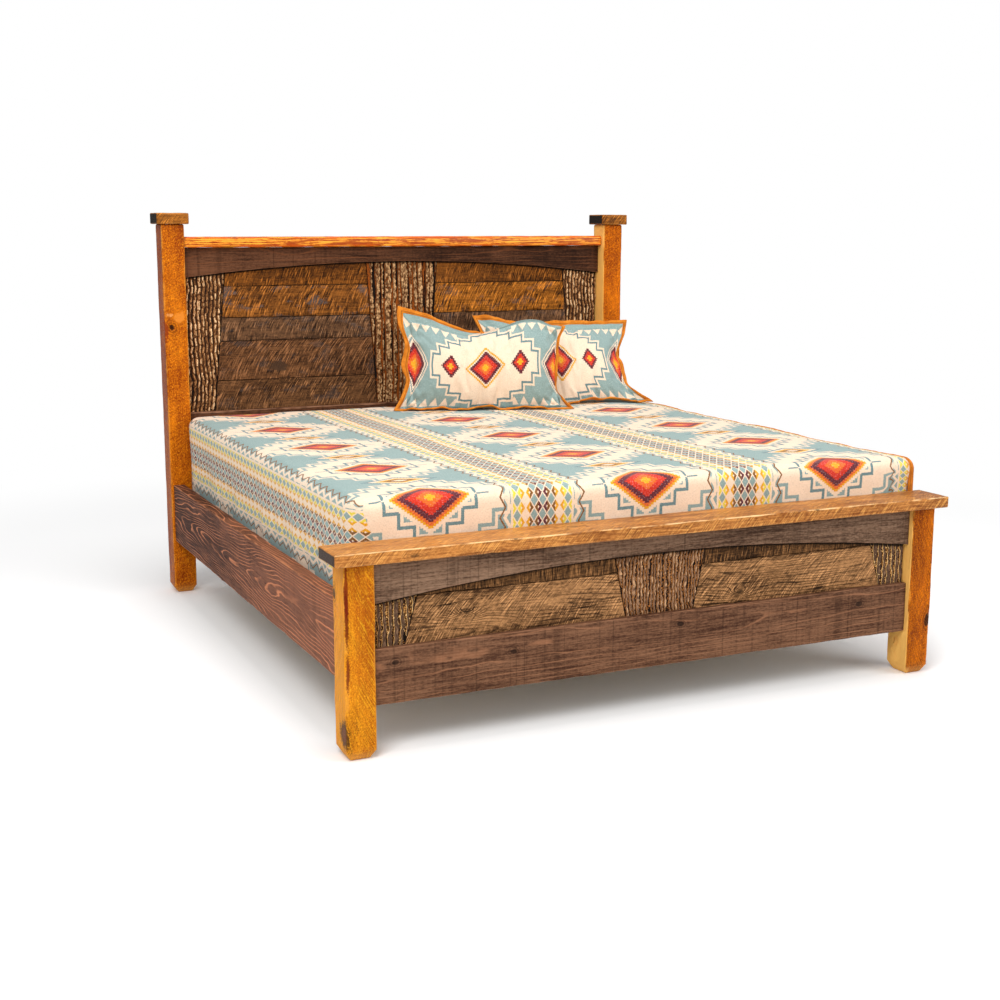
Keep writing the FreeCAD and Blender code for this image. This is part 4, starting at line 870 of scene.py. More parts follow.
def grit(across, along, seed, size, layers=4):
    """Rough noise from 0 to 1 on whole arrays: random numbers on a grid, blended smoothly between its
    points, at sizes that halve from layer to layer."""
    dice = np.random.default_rng(seed)
    total, weight = 0.0, 0.0
    for layer in range(layers):
        table = dice.random((128, 128))
        x, y = across / size * 2 ** layer, along / size * 2 ** layer
        i, j = np.floor(x).astype(int), np.floor(y).astype(int)
        fx, fy = x - i, y - j
        fx, fy = fx * fx * (3 - 2 * fx), fy * fy * (3 - 2 * fy)
        low = table[i % 128, j % 128] * (1 - fx) + table[(i + 1) % 128, j % 128] * fx
        high = table[i % 128, (j + 1) % 128] * (1 - fx) + table[(i + 1) % 128, (j + 1) % 128] * fx
        total = total + (low * (1 - fy) + high * fy) * 0.55 ** layer
        weight += 0.55 ** layer
    return total / weight


def lumpy_bark(x, z, seed):
    """Bark beside the posts: upright strings of knobs. The place is first pushed about by noise. A string is
    the cosine of the distance from its middle; the knobs on it are long cells, two across, higher or lower
    by chance, with narrow cracks between them and grit over them."""
    wide, long = 0.0165, 0.030
    x = x + 0.011 * (grit(x, z * 0.4, seed + 1, 0.040) - 0.5) + 0.005 * waver(z, seed, 0.33)
    column = x / wide
    aside = column - np.floor(column) - 0.5
    z = z + 0.020 * (grit(x * 1.6, z, seed + 2, 0.030) - 0.5)
    gap, mark = cells(x / (wide * 0.46), z / long, seed)
    small, _ = cells(x / 0.0050 + 7, z / 0.0085, seed + 4)
    string = np.cos(PI * aside) ** 1.1
    knob = ease(0.0, 0.30, gap) * (0.20 + 0.80 * mark)
    high = 0.07 + string * (0.26 + 0.74 * knob)
    crumbs = 0.66 + 0.26 * ease(0, 0.3, small) + 0.4 * grit(x, z * 0.6, seed + 3, 0.006, 2)
    return np.clip(high * crumbs, 0, 1.1)


def ridged_bark(x, z, seed):
    """Bark in the middle of the headboard: long upright ridges about 25 mm apart, some nearer and some
    further. Each ridge is a sine across, cut at a level that wavers along it, so it widens, narrows and
    sometimes meets its neighbour; its back is broken into plates, and the floor holds strips at two levels."""
    x = (x + 0.012 * (grit(x * 0.6, z * 0.14, seed + 9, 0.050) - 0.5)
         + 0.007 * (grit(x * 2, z * 0.6, seed + 8, 0.05) - 0.5) + 0.0035 * waver(z, seed, 0.8))
    column = (x + 0.0050 * np.sin(x * 83 + 1.3) + 0.0030 * np.sin(x * 151)) / 0.0255
    which = np.floor(column)
    string = np.abs(np.sin(PI * column))
    level = 0.56 + 0.85 * (grit(which * 5.3, z * 0.7, seed + 4, 0.10, 3) - 0.5)
    ridge = ease(level, level + 0.18, string)
    plates, mark = cells(x / 0.0085, z / 0.022, seed + 5)
    back = (0.34 + 0.26 * ease(0, 0.35, plates) + 0.32 * mark
            + 0.8 * (grit(x, z * 0.6, seed + 3, 0.006, 2) - 0.4))
    floor = 0.02 + 0.32 * ease(0.46, 0.54, grit(x, z * 0.10, seed + 6, 0.015, 3))
    return np.clip(floor + (back - floor) * ridge, 0, 1.1)


def fissured_bark(x, z, seed):
    """Bark in the middle of the footboard: narrow upright ribs close together. A rib is a sine across of a
    place that noise pushes sideways, cut at a level that wavers, so that its furrows wind and meet; small
    beads fill the furrows, and cracks cross the ribs."""
    x = (x + 0.020 * (grit(x, z * 0.30, seed + 1, 0.036) - 0.5)
         + 0.005 * (grit(x, z * 0.8, seed + 2, 0.012) - 0.5) + 0.003 * waver(z, seed, 0.2))
    string = np.abs(np.sin(PI * x / 0.0125))
    level = 0.50 + 1.0 * (grit(np.floor(x / 0.0125) * 3.1, z, seed + 5, 0.030, 3) - 0.5)
    rib = ease(level, level + 0.25, string)
    gap, mark = cells(x / 0.0045, z / 0.0080, seed + 4)
    beads = 0.40 * ease(0.08, 0.50, gap) * (0.20 + 0.80 * mark)
    plates, shade = cells(x / 0.0070 + 3, z / 0.020, seed + 6)
    back = (0.44 + 0.22 * ease(0, 0.3, plates) + 0.20 * shade
            + 0.6 * (grit(x, z * 0.5, seed + 3, 0.005, 3) - 0.5))
    return np.clip(beads + (back - beads) * rib, 0, 1.1)


def corky_bark(x, z, seed):
    """Bark beside the foot posts: broad flat ridges about 20 mm apart, cut from a cosine across at a level
    that wavers, and between them rows of small beads, cells with dark cracks round them."""
    x = x + 0.016 * (grit(x, z * 0.4, seed + 1, 0.040) - 0.5) + 0.004 * waver(z, seed, 0.25)
    column = x / 0.0185
    which = np.floor(column)
    string = np.cos(PI * (column - which - 0.5))
    level = 0.58 + 0.7 * (grit(which * 3.7, z * 1.5, seed + 4, 0.05, 2) - 0.5)
    ridge = ease(level, level + 0.16, string)
    gap, mark = cells(x / 0.0050, z / 0.0075, seed)
    beads = 0.02 + 0.38 * ease(0.10, 0.50, gap) * (0.30 + 0.70 * mark)
    plates = cells(x / 0.008, z / 0.030, seed + 2)[0]
    back = 0.56 + 0.20 * ease(0, 0.3, plates) + 0.5 * (grit(x, z * 0.5, seed + 3, 0.008, 3) - 0.5)
    return np.clip(beads + (back - beads) * ridge, 0, 1.1)


def bark_slab(node, left, right, relief, deep, finish, seed, spacing=0.0021):
    """A bark panel: a grid over its front, where x runs from the left to the right line and z from low to
    high, with its height from the relief function times deep; its sides fall 6 mm back and join a flat back."""
    (_, front, low), (_, back, high) = corners(node)
    wide = max(abs(right[0] - left[0]), abs(right[1] - left[1]))
    columns, rows = int(wide / spacing), int((high - low) / spacing)
    s, t = np.meshgrid(np.linspace(0, 1, columns), np.linspace(0, 1, rows))
    x_left, x_right = left[0] + (left[1] - left[0]) * t, right[0] + (right[1] - right[0]) * t
    x, z = x_left + (x_right - x_left) * s, low + (high - low) * t
    rise = relief(x - (left[0] + right[0]) / 2 + 5, z + 5, seed)
    side_groove_and_shade = 1 - ease(0, 0.0050, np.minimum(s, 1 - s) * wide)
    rise = rise * (1 - 0.95 * side_groove_and_shade)
    y = front + deep * 0.45 - deep * rise + 0.006 * side_groove_and_shade
    points = np.stack([x, y, z], -1).reshape(-1, 3)
    edge = rim_of(rows, columns)
    rim = points[edge].copy()
    rim[:, 1] = back
    lower = len(points) + np.arange(len(edge))
    walls = np.stack([edge, lower, np.roll(lower, -1), np.roll(edge, -1)], -1)
    points = np.concatenate([points, rim, [[(left[0] + right[0]) / 2, back, (low + high) / 2]]])
    # The relief note drops further along the sides than the surface does, painting them dark: painted shade in the
    # gap beside the bark
    notes = np.concatenate([(rise - 0.35 * side_groove_and_shade).ravel(), np.zeros(len(rim) + 1)])
    return piece(node + "_bark", points, np.concatenate([quads(rows, columns), walls]),
                 fan(lower, lower[-1] + 1)[:, ::-1], finish, "bed_frame", [node],
                 notes={"relief": notes})


# Each panel's bark at the sides and in the middle: how wide it is at the panel's foot and top, its relief
# function, how deep it is and its colours; then how tall the planks are, and their finishes left and right
# In the bark colours the darkest low stops are painted shade in the furrows and the palest high stops are partly a
# painted highlight on the crests
PANELS = {
    "head": (((0.117, 0.189), lumpy_bark, 0.013, bark_finish(
        "bark_strings", "head", (0.06, (16, 9, 5)), (0.24, (58, 33, 15)), (0.46, (118, 74, 38)),
        (0.66, (184, 132, 82)), (0.90, (240, 200, 152)))),
        ((0.236, 0.342), ridged_bark, 0.016, bark_finish(
            "bark_ridges", "head", (0.06, (18, 10, 4)), (0.18, (70, 34, 8)), (0.34, (156, 78, 14)),
            (0.46, (74, 45, 22)), (0.68, (134, 94, 58)), (0.95, (204, 160, 112)))),
        (0.245, 0.226, 0.134, 0.18),
        {-1: ("low", "knotty", "grey", "warm", "gold"), 1: ("low", "knotty", "grey", "amber", "gold")}),
    "foot": (((0.070, 0.177), corky_bark, 0.010, bark_finish(
        "bark_strings_foot", "foot", (0.04, (12, 7, 4)), (0.15, (92, 52, 18)), (0.26, (206, 146, 74)),
        (0.40, (240, 202, 144)), (0.49, (66, 44, 30)), (0.78, (96, 70, 52)), (0.99, (150, 116, 88)))),
        ((0.194, 0.357), fissured_bark, 0.008, bark_finish(
            "bark_fissures", "foot", (0.07, (16, 9, 5)), (0.19, (66, 38, 18)), (0.30, (172, 104, 46)),
            (0.38, (178, 120, 62)), (0.47, (80, 57, 42)), (0.70, (142, 104, 76)), (0.95, (200, 156, 114)))),
        (0.697,), {-1: ("foot", "foot_top"), 1: ("foot", "foot_top")}),
}
for prefix, ((side_wide, side_bark, *side_look), (key, key_bark, *key_look), shares, picks) in PANELS.items():
    low, high = corners(f"{prefix}_bark_center")
    tall = high[2] - low[2]
    bark_slab(f"{prefix}_bark_center", [-wide / 2 for wide in key], [wide / 2 for wide in key], key_bark,
              *key_look, 71)
    heights = np.concatenate([[0], np.cumsum(shares), [1]]) * tall + low[2]
    for side, sign in SIDE_SIGN.items():
        inner, outer = [sign * (PANEL_HALF - wide) for wide in side_wide], [sign * PANEL_HALF] * 2
        bark_slab(f"{prefix}_bark_{side}", *(inner, outer)[::sign], side_bark, *side_look, 80 + sign)
        key_line = [sign * (wide / 2 + BARK_GAP) for wide in key]
        bark_line = [sign * (PANEL_HALF - wide - BARK_GAP) for wide in side_wide]
        left, right = (key_line, bark_line)[::sign]
        start, end = min(left), max(right)
        for number, pick in enumerate(picks[sign]):
            seed = (number + 1) * 17 + (sign + 1) * 5 + (prefix == "foot") * 100
            dice = np.random.default_rng(seed)
            forward = dice.uniform(-0.0012, 0.0012)
            node = f"{prefix}_plank_{side}_{number + 1}"
            timber(node + "_board", node, 0, plank_finishes[pick],
                   np.array((start, low[1] + forward, heights[number] + PLANK_GAP / 2)),
                   np.array((end, high[1] + forward, heights[number + 1] - PLANK_GAP / 2)), edge=0.0016,
                   seed=seed,
                   heart=(dice.uniform(0.0, 0.05), dice.uniform(-0.05, 0.05)), wear=0.9, rough=0.0009,
                   step=0.014, tone=[0.5 + dice.uniform(-0.06, 0.06)] * 2,
                   bend=between(left, right, low[2], tall, start, end))

# CAD pieces that stay as they are, with finishes of their own

for finish, nodes in (
        (bare_wood("bare_pine_long", (222, 190, 138), (176, 128, 74), axis=1), "cleat_left cleat_right"),
        (bare_wood("bare_pine", (222, 190, 138), (180, 132, 78)), "slats"),
        (bare_wood("bare_pine_up", (220, 186, 132), (172, 124, 70), axis=2), "center_legs"),
        (bare_wood("backing_board", (146, 112, 78), (118, 86, 56)), "head_backing foot_backing"),
        (bare_wood("dowel_wood", (226, 196, 148), (196, 154, 100), ring=0.004), "frame_dowels post_top_dowels"),
        (steel("hardware_steel", (150, 150, 146), (96, 94, 88)),
         "plate_screws cleat_screws slat_screws leg_inserts rail_hook_plates post_slot_plates"),
        (steel("glide_steel", (178, 180, 182), (120, 120, 120)), "glide_foot glide_middle glide_head")):
    for node in nodes.split():
        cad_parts[node].data.materials.clear()
        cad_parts[node].data.materials.append(finish)

# Mattress and box spring

QUILT_GAP = 0.16
ticking = plain_cloth("ticking", (238, 234, 226), (206, 202, 194), 0.045)
tape = plain_cloth("edge_tape", (196, 192, 186), (160, 156, 150))
box_cloth = plain_cloth("box_cloth", (206, 200, 190), (168, 162, 152), 0.035)


def rounded_outline(low, high, radius, steps):
    """Points round a rectangle with quarter-circle corners, anticlockwise, at even steps on its sides, and
    the outward direction at each."""
    half = (high[:2] - low[:2])[None] / 2
    counts = [max(1, int((high[axis] - low[axis] - 2 * radius) / steps)) for axis in (0, 1)]
    flat = section(half, np.full((1, 4), radius), counts, arc=9)[0][0]
    out = flat - np.clip(flat, -(half - radius), half - radius)
    return flat + (low[:2] + high[:2]) / 2, out / np.linalg.norm(out, axis=1)[:, None]


def padded_block(name, node, finish, corner, edge, bulge, quilt):
    """A mattress: a rounded outline carried from the bottom to the top. Its side bulges out by a half
    sine, its rims turn in by a quarter circle, and the faces dip at quilting lines, the product of two
    cosines; it closes at a point in the middle of both faces."""
    low, high = corners(node)
    outline, out = rounded_outline(low, high, corner, 0.03)
    tall = high[2] - low[2]
    f = np.linspace(0, PI / 2, 6)
    turn_in, turn_up = edge * (1 - np.sin(f)), edge * (1 - np.cos(f))
    upright = np.linspace(edge, tall - edge, 10)[1:-1]
    height = np.concatenate([turn_up, upright, tall - turn_up[::-1]])
    inset = np.concatenate([turn_in, np.zeros(len(upright)), turn_in[::-1]])
    swell = bulge * np.sin(PI * height / tall)
    rings = outline[None] + out[None] * (swell - inset - bulge)[:, None, None]
    levels = np.broadcast_to((low[2] + height)[:, None, None], rings.shape[:2] + (1,))
    points = [np.concatenate([rings, levels], -1)]
    middle = (low[:2] + high[:2]) / 2
    shares = np.linspace(0, 1, 24)[1:-1]
    for level, order in ((low[2], -1), (high[2], 1)):
        flat = rings[0 if order < 0 else -1]
        inner = middle + (flat[None] - middle) * (1 - shares)[:, None, None]
        waves = np.cos(2 * PI * inner / QUILT_GAP).prod(-1)
        sink = quilt * (0.5 + 0.5 * waves) * ease(0, 0.2, shares)[:, None]
        face = np.concatenate([inner, (level - order * sink)[..., None]], -1)
        points = [face[::-1], *points] if order < 0 else [*points, face]
    grid = np.concatenate(points)
    rows, columns = grid.shape[:2]
    caps = np.array([[*middle, low[2] + quilt * 0.5], [*middle, high[2] - quilt * 0.5]])
    made = piece(name, np.concatenate([grid.reshape(-1, 3), caps]), quads(rows, columns, True),
                 lids(rows, columns), finish, "bed_frame", [node])


def piping(name, node, corner, margin, radius, inset):
    """Corded seams round a mattress: a small circle carried round its outline, a margin from the bottom and
    from the top."""
    low, high = corners(node)
    outline, out = rounded_outline(low, high, corner, 0.04)
    turn = np.linspace(0, 2 * PI, 9)[:-1]
    ringed = outline[:, None] + out[:, None] * (radius * np.cos(turn) - inset)[None, :, None]
    lift = np.broadcast_to(radius * np.sin(turn), ringed.shape[:2])
    rows, columns = ringed.shape[:2]
    points = [np.concatenate([ringed, (lift + level)[..., None]], -1).reshape(-1, 3)
              for level in (low[2] + margin, high[2] - margin)]
    band = (quads(rows + 1, columns, True) % (rows * columns))[:, ::-1]
    return piece(name, np.concatenate(points), np.concatenate([band, band + rows * columns]), [], tape,
                 "bed_frame")


padded_block("mattress_pad", "mattress", ticking, 0.076, 0.030, 0.004, 0.003)
piping("mattress_piping", "mattress", 0.072, 0.020, 0.005, 0.0065)
padded_block("box_spring", "foundation", box_cloth, 0.072, 0.012, 0.002, 0.0005)
piping("box_spring_piping", "foundation", 0.070, 0.012, 0.004, 0.0045)

# Blanket

# How thick it is; how high its top and its hems lie; where it ends on the left, at the foot, on the right
# inside its binding and at the head; where the binding runs, and where the sag towards it starts; the radii
# of its turn down and its corner
CLOTH = 0.0045
TOP, HEM, RIGHT_HEM = 0.7423, 0.4123, 0.5443
LEFT, FOOT, RIGHT, HEAD = -0.985, -1.0075, 1.052, 1.0115
BOUND, BRINK = 1.069, 0.93
TURN, CORNER = 0.040, 0.085
HEART_X, HEART_Y = LEFT + CORNER, FOOT + CORNER


def blanket_roll(x, y):
    """How far the top of the blanket lies above its level: a slow roll of a few millimetres, and a sag past
    the mattress on the right that grows with the square of the overhang."""
    roll = 0.0022 * (1 + rolling(x, y, 5, 0.9, 3)) + 0.0007 * rolling(x, y, 8, 0.22, 3)
    over = np.clip((x - BRINK) / 0.14, 0, 2)
    sag = -(0.016 + 0.004 * waver(y, 12, 0.9)) * over ** 2
    return roll * ease(0.0, 0.12, 1.0 - np.abs(x)) + sag


def blanket_sheet():
    """The blanket as one surface over the mattress.

    Its rim is a strip of rows by columns. A row's inset i and height follow the section of the edge: flat
    to the turn, a quarter circle of radius TURN down, then straight to the hem. A column's place s runs
    down the left side, round a quarter circle of radius CORNER - i about the corner's centre, and along the
    foot. The crease of the folded corner starts at the corner and leans towards the foot as it goes down.
    The flat middle is a grid that shares the strip's last row."""
    step = 0.0185
    xs = np.linspace(HEART_X, RIGHT, int((RIGHT - HEART_X) / step))
    ys = np.linspace(HEART_Y, HEAD, int((HEAD - HEART_Y) / step))
    quarter = CORNER * PI / 2
    crease = quarter * 0.62
    s_left = -(ys[::-1] - HEART_Y)
    s_corner = np.linspace(0, crease, 12)[1:]
    s_late = np.linspace(crease, quarter, 7)[:-1]
    s_foot = quarter + (xs - HEART_X)
    hem_tall = TOP - TURN - HEM
    drop = np.linspace(1, 0, 24)[:-1]
    f = np.linspace(0, PI / 2, 8)
    inset = np.concatenate([np.zeros(len(drop)), TURN * (1 - np.cos(f)), [CORNER * 0.7, CORNER * 0.85, CORNER]])
    height = np.concatenate([-TURN - drop * hem_tall, -TURN + TURN * np.sin(f), [0, 0, 0]])
    reach = np.concatenate([CORNER - TURN + TURN * PI / 2 + drop * hem_tall,
                            CORNER - TURN + TURN * (PI / 2 - f), [CORNER * 0.3, CORNER * 0.15, 0]])
    fall = np.concatenate([drop, np.zeros(len(f) + 3)])
    s = np.concatenate([s_left, s_corner, s_late, s_foot])
    before = np.arange(len(s)) < len(s_left) + len(s_corner)
    lean = 0.11 * fall[:, None]
    rows_s = s + lean * np.where(before, np.clip(s / crease, 0, 1), 1 - ease(0, 0.34, s - crease))
    short = ease(quarter + (BRINK - HEART_X), quarter + (0.985 - HEART_X), rows_s)
    down, hang = height[:, None], ease(0, 0.6, fall[:, None])
    cut = (TOP - TURN - RIGHT_HEM) / hem_tall
    down = np.where(down < -TURN, -TURN + (down + TURN) * (1 + (cut - 1) * short), down)
    near_crease = rows_s - (crease + lean)
    fold = (-0.0045 * np.exp(-(near_crease / 0.006) ** 2)
            + 0.0020 * np.exp(-((near_crease + 0.012) / 0.010) ** 2)
            - 0.0025 * np.exp(-((near_crease - 0.03) / 0.03) ** 2)) * hang
    sway = (0.0045 * hang * (waver(rows_s, 21, 0.30) - 1.0)
            + 0.0014 * hang * (waver(rows_s + 0.25 * down, 22, 0.11) - 1.0))
    i = inset[:, None] - fold - sway
    arc_x, arc_y = (heart - (CORNER - i) * wave(np.clip(rows_s, 0, quarter) / CORNER)
                    for heart, wave in ((HEART_X, np.cos), (HEART_Y, np.sin)))
    on_left, on_foot = rows_s < 0, rows_s > quarter
    x = np.minimum(np.where(on_left, LEFT + i, np.where(on_foot, HEART_X + rows_s - quarter, arc_x)), RIGHT)
    y = np.where(on_foot, FOOT + i, np.where(on_left, HEART_Y - rows_s, arc_y))
    z = TOP + down + blanket_roll(x, y) * ease(-0.10, 0.0, down)
    out = np.broadcast_to(reach[:, None], rows_s.shape)
    turned_up = ease(0.2, 0.9, np.clip((out - (CORNER - TURN)) / (TURN * PI / 2), 0, 1))
    left_map = np.stack([HEART_X - out, np.where(on_left, y, HEART_Y - rows_s)], -1)
    foot_map = np.stack([np.where(on_foot, x, HEART_X + rows_s - quarter), HEART_Y - out], -1)
    flat_map = np.stack([x, y], -1)
    turned = np.where(before[None, :, None], left_map, foot_map)
    in_corner = ((rows_s > 0) & (rows_s < quarter))[..., None]
    cloth = np.where(in_corner, flat_map + (turned - flat_map) * turned_up[..., None], turned)
    rows, columns = rows_s.shape
    strip = np.stack([x, y, z], -1).reshape(-1, 3)
    faces = quads(rows, columns)
    faces = faces[faces.min(1) % columns != before.sum() - 1]
    gx, gy = np.meshgrid(xs, ys)
    middle = np.stack([gx, gy, TOP + blanket_roll(gx, gy)], -1).reshape(-1, 3)
    return (np.concatenate([strip, middle]), np.concatenate([faces, quads(len(ys), len(xs)) + len(strip)]),
            np.concatenate([cloth.reshape(-1, 2), middle[:, :2]]))


points, faces, maps = blanket_sheet()
blanket = piece("blanket_cloth", points, faces, [], woven("blanket_wool", blanket_picture), "bed_frame",
                ["blanket"], maps=maps)
# The strip and the middle of the sheet are joined where their points lie on each other
SAME = 2e-5
work = bmesh.new()
work.from_mesh(blanket.data)
bmesh.ops.remove_doubles(work, verts=work.verts, dist=SAME)
bmesh.ops.dissolve_degenerate(work, edges=work.edges, dist=SAME)
work.to_mesh(blanket.data)
work.free()
thick = blanket.modifiers.new("thick", "SOLIDIFY")
thick.thickness, thick.offset = CLOTH, -1.0
suede = suede_finish()


def edge_strip(name, line, inward, normal, wide, thick_by, body, node, closed=False, seed=1):
    """A folded suede binding along an edge: a flat rounded loop, carried along the line. Round the loop, the
    distance inwards is wide (0.5 - 0.5 cos a) and the lift is the half thickness times sin a, drawn out flat
    by its square root; stitches pinch it to three fifths at seven tenths of its width."""
    a = np.linspace(0, 2 * PI, 17)[:-1]
    across = wide * (0.5 - 0.5 * np.cos(a))
    stitch_and_shade = np.zeros(len(a))
    stitch_and_shade[[5, 11]] = 1
    lift = thick_by / 2 * np.sign(np.sin(a)) * np.abs(np.sin(a)) ** 0.45 * (1 - 0.4 * stitch_and_shade)
    run = np.concatenate([[0], np.cumsum(np.linalg.norm(np.diff(line, axis=0), axis=1))])
    pucker = 1 + 0.14 * waver(run, seed, 0.05, 3)[:, None]
    grid = (line[:, None] + inward[:, None] * across[None, :, None]
            + normal[:, None] * (lift[None, :, None] * pucker[..., None]))
    rows, columns = grid.shape[:2]
    points, stitches = grid.reshape(-1, 3), np.tile(stitch_and_shade, rows)
    if closed:
        faces, threes = quads(rows + 1, columns, True) % (rows * columns), []
    else:
        faces, threes = quads(rows, columns, True), lids(rows, columns)
        points = np.concatenate([points, [grid[0].mean(0), grid[-1].mean(0)]])
        stitches = np.concatenate([stitches, [0, 0]])
    return piece(name, points, faces, threes, suede, body, [node], notes={"stitch_and_shade": stitches})


def blanket_edge():
    """The right edge of the blanket from the head to the hem at the foot: along the top, round the turn and
    down, with the inward and upward directions at each point."""
    ys = np.arange(HEAD, FOOT + TURN, -0.02)
    f = np.linspace(0, PI / 2, 9)
    low = np.linspace(-TURN, RIGHT_HEM - TOP, 8)[1:]
    y = np.concatenate([ys, FOOT + TURN - TURN * np.sin(f), np.full(len(low), FOOT)])
    down = np.concatenate([np.zeros(len(ys)), -TURN * (1 - np.cos(f)), low])
    turn = np.concatenate([np.zeros(len(ys)), f, np.full(len(low), PI / 2)])
    x = np.full(len(y), BOUND)
    level = ease(-0.10, 0.0, down)
    z = TOP + down + blanket_roll(x, y) * level
    near = np.linspace(1.04, BOUND, 5)
    slope = np.gradient(blanket_roll(near, 0 * near), near)[-1]
    inward = np.stack([-np.ones(len(y)), 0 * y, -slope * level], -1)
    inward /= np.linalg.norm(inward, axis=1)[:, None]
    normal = np.stack([0 * y, -np.sin(turn), np.cos(turn)], -1)
    return np.stack([x, y, z], -1) - normal * CLOTH / 2, inward, normal


hem = edge_strip("blanket_hem", *blanket_edge(), 0.020, 0.0085, "bed_frame", "blanket_binding")

# Pillows

# A sham's size over all, how wide its flange and its binding are, and half the flange's thickness
SHAM_WIDE, SHAM_TALL = 0.771, 0.420
FLANGE, BIND, LAYER = 0.048, 0.024, 0.0014


def drawn(values, places):
    """A smooth line through values at even places from 0 to 1: the cubic through each pair of neighbours
    whose slopes are those of the chords round them."""
    values = np.asarray(values, float)
    last = len(values) - 1
    at = np.clip(np.asarray(places) * last, 0, last - 1e-9)
    k = np.floor(at).astype(int)
    t = at - k
    before, start, end, after = (values[np.clip(k + shift, 0, last)] for shift in (-1, 0, 1, 2))
    return start + 0.5 * t * (end - before + t * (2 * before - 5 * start + 4 * end - after
                                                  + t * (3 * (start - end) + after - before)))


def rim_sides(corners_of, draw_in, back, across, up):
    """The four sides of a pillow's outline in millimetres: the straight line between two corners (bottom
    left, bottom right, top right, top left), drawn in towards the middle by one list of depths, which starts
    and ends at 0, and set back by another. Gives bottom, top, left and right in metres, as x, y, z."""
    bottom_left, bottom_right, top_right, top_left = np.array(corners_of, float)
    sides = []
    for start, end, side, places, inward in (
            (bottom_left, bottom_right, "bottom", across, (0, 1)),
            (top_left, top_right, "top", across, (0, -1)),
            (bottom_left, top_left, "left", up, (1, 0)),
            (bottom_right, top_right, "right", up, (-1, 0))):
        depth = drawn((0, *draw_in[side], 0), places)[:, None]
        line = start + (end - start) * places[:, None] + np.array(inward) * depth
        sides.append(np.stack([line[:, 0], drawn(back[side], places), line[:, 1]], -1) / 1000)
    return sides


def spanned(bottom, top, left, right):
    """A surface between four sides: the blend of bottom and top, plus that of left and right, less the
    blend of the corners."""
    s = np.linspace(0, 1, len(bottom))[None, :, None]
    t = np.linspace(0, 1, len(left))[:, None, None]
    return ((1 - t) * bottom[None] + t * top[None] + (1 - s) * left[:, None] + s * right[:, None]
            - ((1 - s) * (1 - t) * bottom[0] + s * (1 - t) * bottom[-1]
               + (1 - s) * t * top[0] + s * t * top[-1]))


def two_layers(rows, columns):
    """Two layers of a grid that share their rim: which points lie inside the rim, the number of each point
    of the second layer, and the faces of both."""
    inner = np.zeros((rows, columns), bool)
    inner[1:-1, 1:-1] = True
    inner = inner.ravel()
    number = np.arange(rows * columns)
    number[inner] = np.arange(inner.sum()) + rows * columns
    faces = quads(rows, columns)
    return inner, number, np.concatenate([faces, number[faces][:, ::-1]])


def filled_cover(name, wide, tall, columns, rows, seed):
    """A pillow's filled middle: two layers of cloth joined round their edge. They start as a lens, rise
    (1 - u^4)(1 - v^4), a few percent larger than the seam that holds them, and are blown up as cloth, so
    that the spare cloth gathers into creases along the seam. Gives both layers as grids."""
    u, v = np.meshgrid(np.linspace(-1, 1, columns), np.linspace(-1, 1, rows))
    rise = (1 - u ** 4) * (1 - v ** 4)
    dice = np.random.default_rng(seed)
    uneven = sum(dice.uniform(-1, 1) * np.cos(PI * (a * u + dice.random()))
                 * np.cos(PI * (b * v + dice.random()))
                 for a in range(1, 7) for b in range(1, 5))
    front = np.stack([u * wide / 2, -rise * 0.03 - rise * uneven * 0.0012, v * tall / 2], -1).reshape(-1, 3)
    inner, number, faces = two_layers(rows, columns)
    points = np.concatenate([front, front[inner] * [1, -1, 1]])
    mesh = bpy.data.meshes.new(name)
    mesh.from_pydata(points.tolist(), [], faces.tolist())
    made = placed(name, mesh)
    seam = made.vertex_groups.new(name="seam")
    seam.add(np.flatnonzero(~inner).tolist(), 1.0, "REPLACE")
    cloth = made.modifiers.new("filling", "CLOTH")
    setup = cloth.settings
    setup.quality, setup.mass, setup.use_pressure, setup.uniform_pressure_force = 6, 0.3, True, 4.5
    setup.tension_stiffness = setup.compression_stiffness = 25
    setup.shear_stiffness, setup.bending_stiffness, setup.air_damping = 8, 0.25, 4
    setup.shrink_min = -0.05
    setup.vertex_group_mass = "seam"
    setup.effector_weights.gravity = 0
    cloth.point_cache.frame_start, cloth.point_cache.frame_end = 1, 36
    for moment in range(1, 37):
        bpy.context.scene.frame_set(moment)
    graph = bpy.context.evaluated_depsgraph_get()
    settled = made.evaluated_get(graph).to_mesh()
    moved = np.empty(len(points) * 3, np.float32)
    settled.vertices.foreach_get("co", moved)
    points = moved.reshape(-1, 3).astype(float)
    made.evaluated_get(graph).to_mesh_clear()
    bpy.context.scene.frame_set(1)
    bpy.data.objects.remove(made)
    bpy.data.meshes.remove(mesh)
    both = [points[order].reshape(rows, columns, 3) for order in (np.arange(columns * rows), number)]
    thick = max(np.abs(layer[..., 1]).max() for layer in both)
    return [layer * [1, 0.070 / thick, 1] for layer in both], np.stack([u * wide / 2, v * tall / 2], -1)


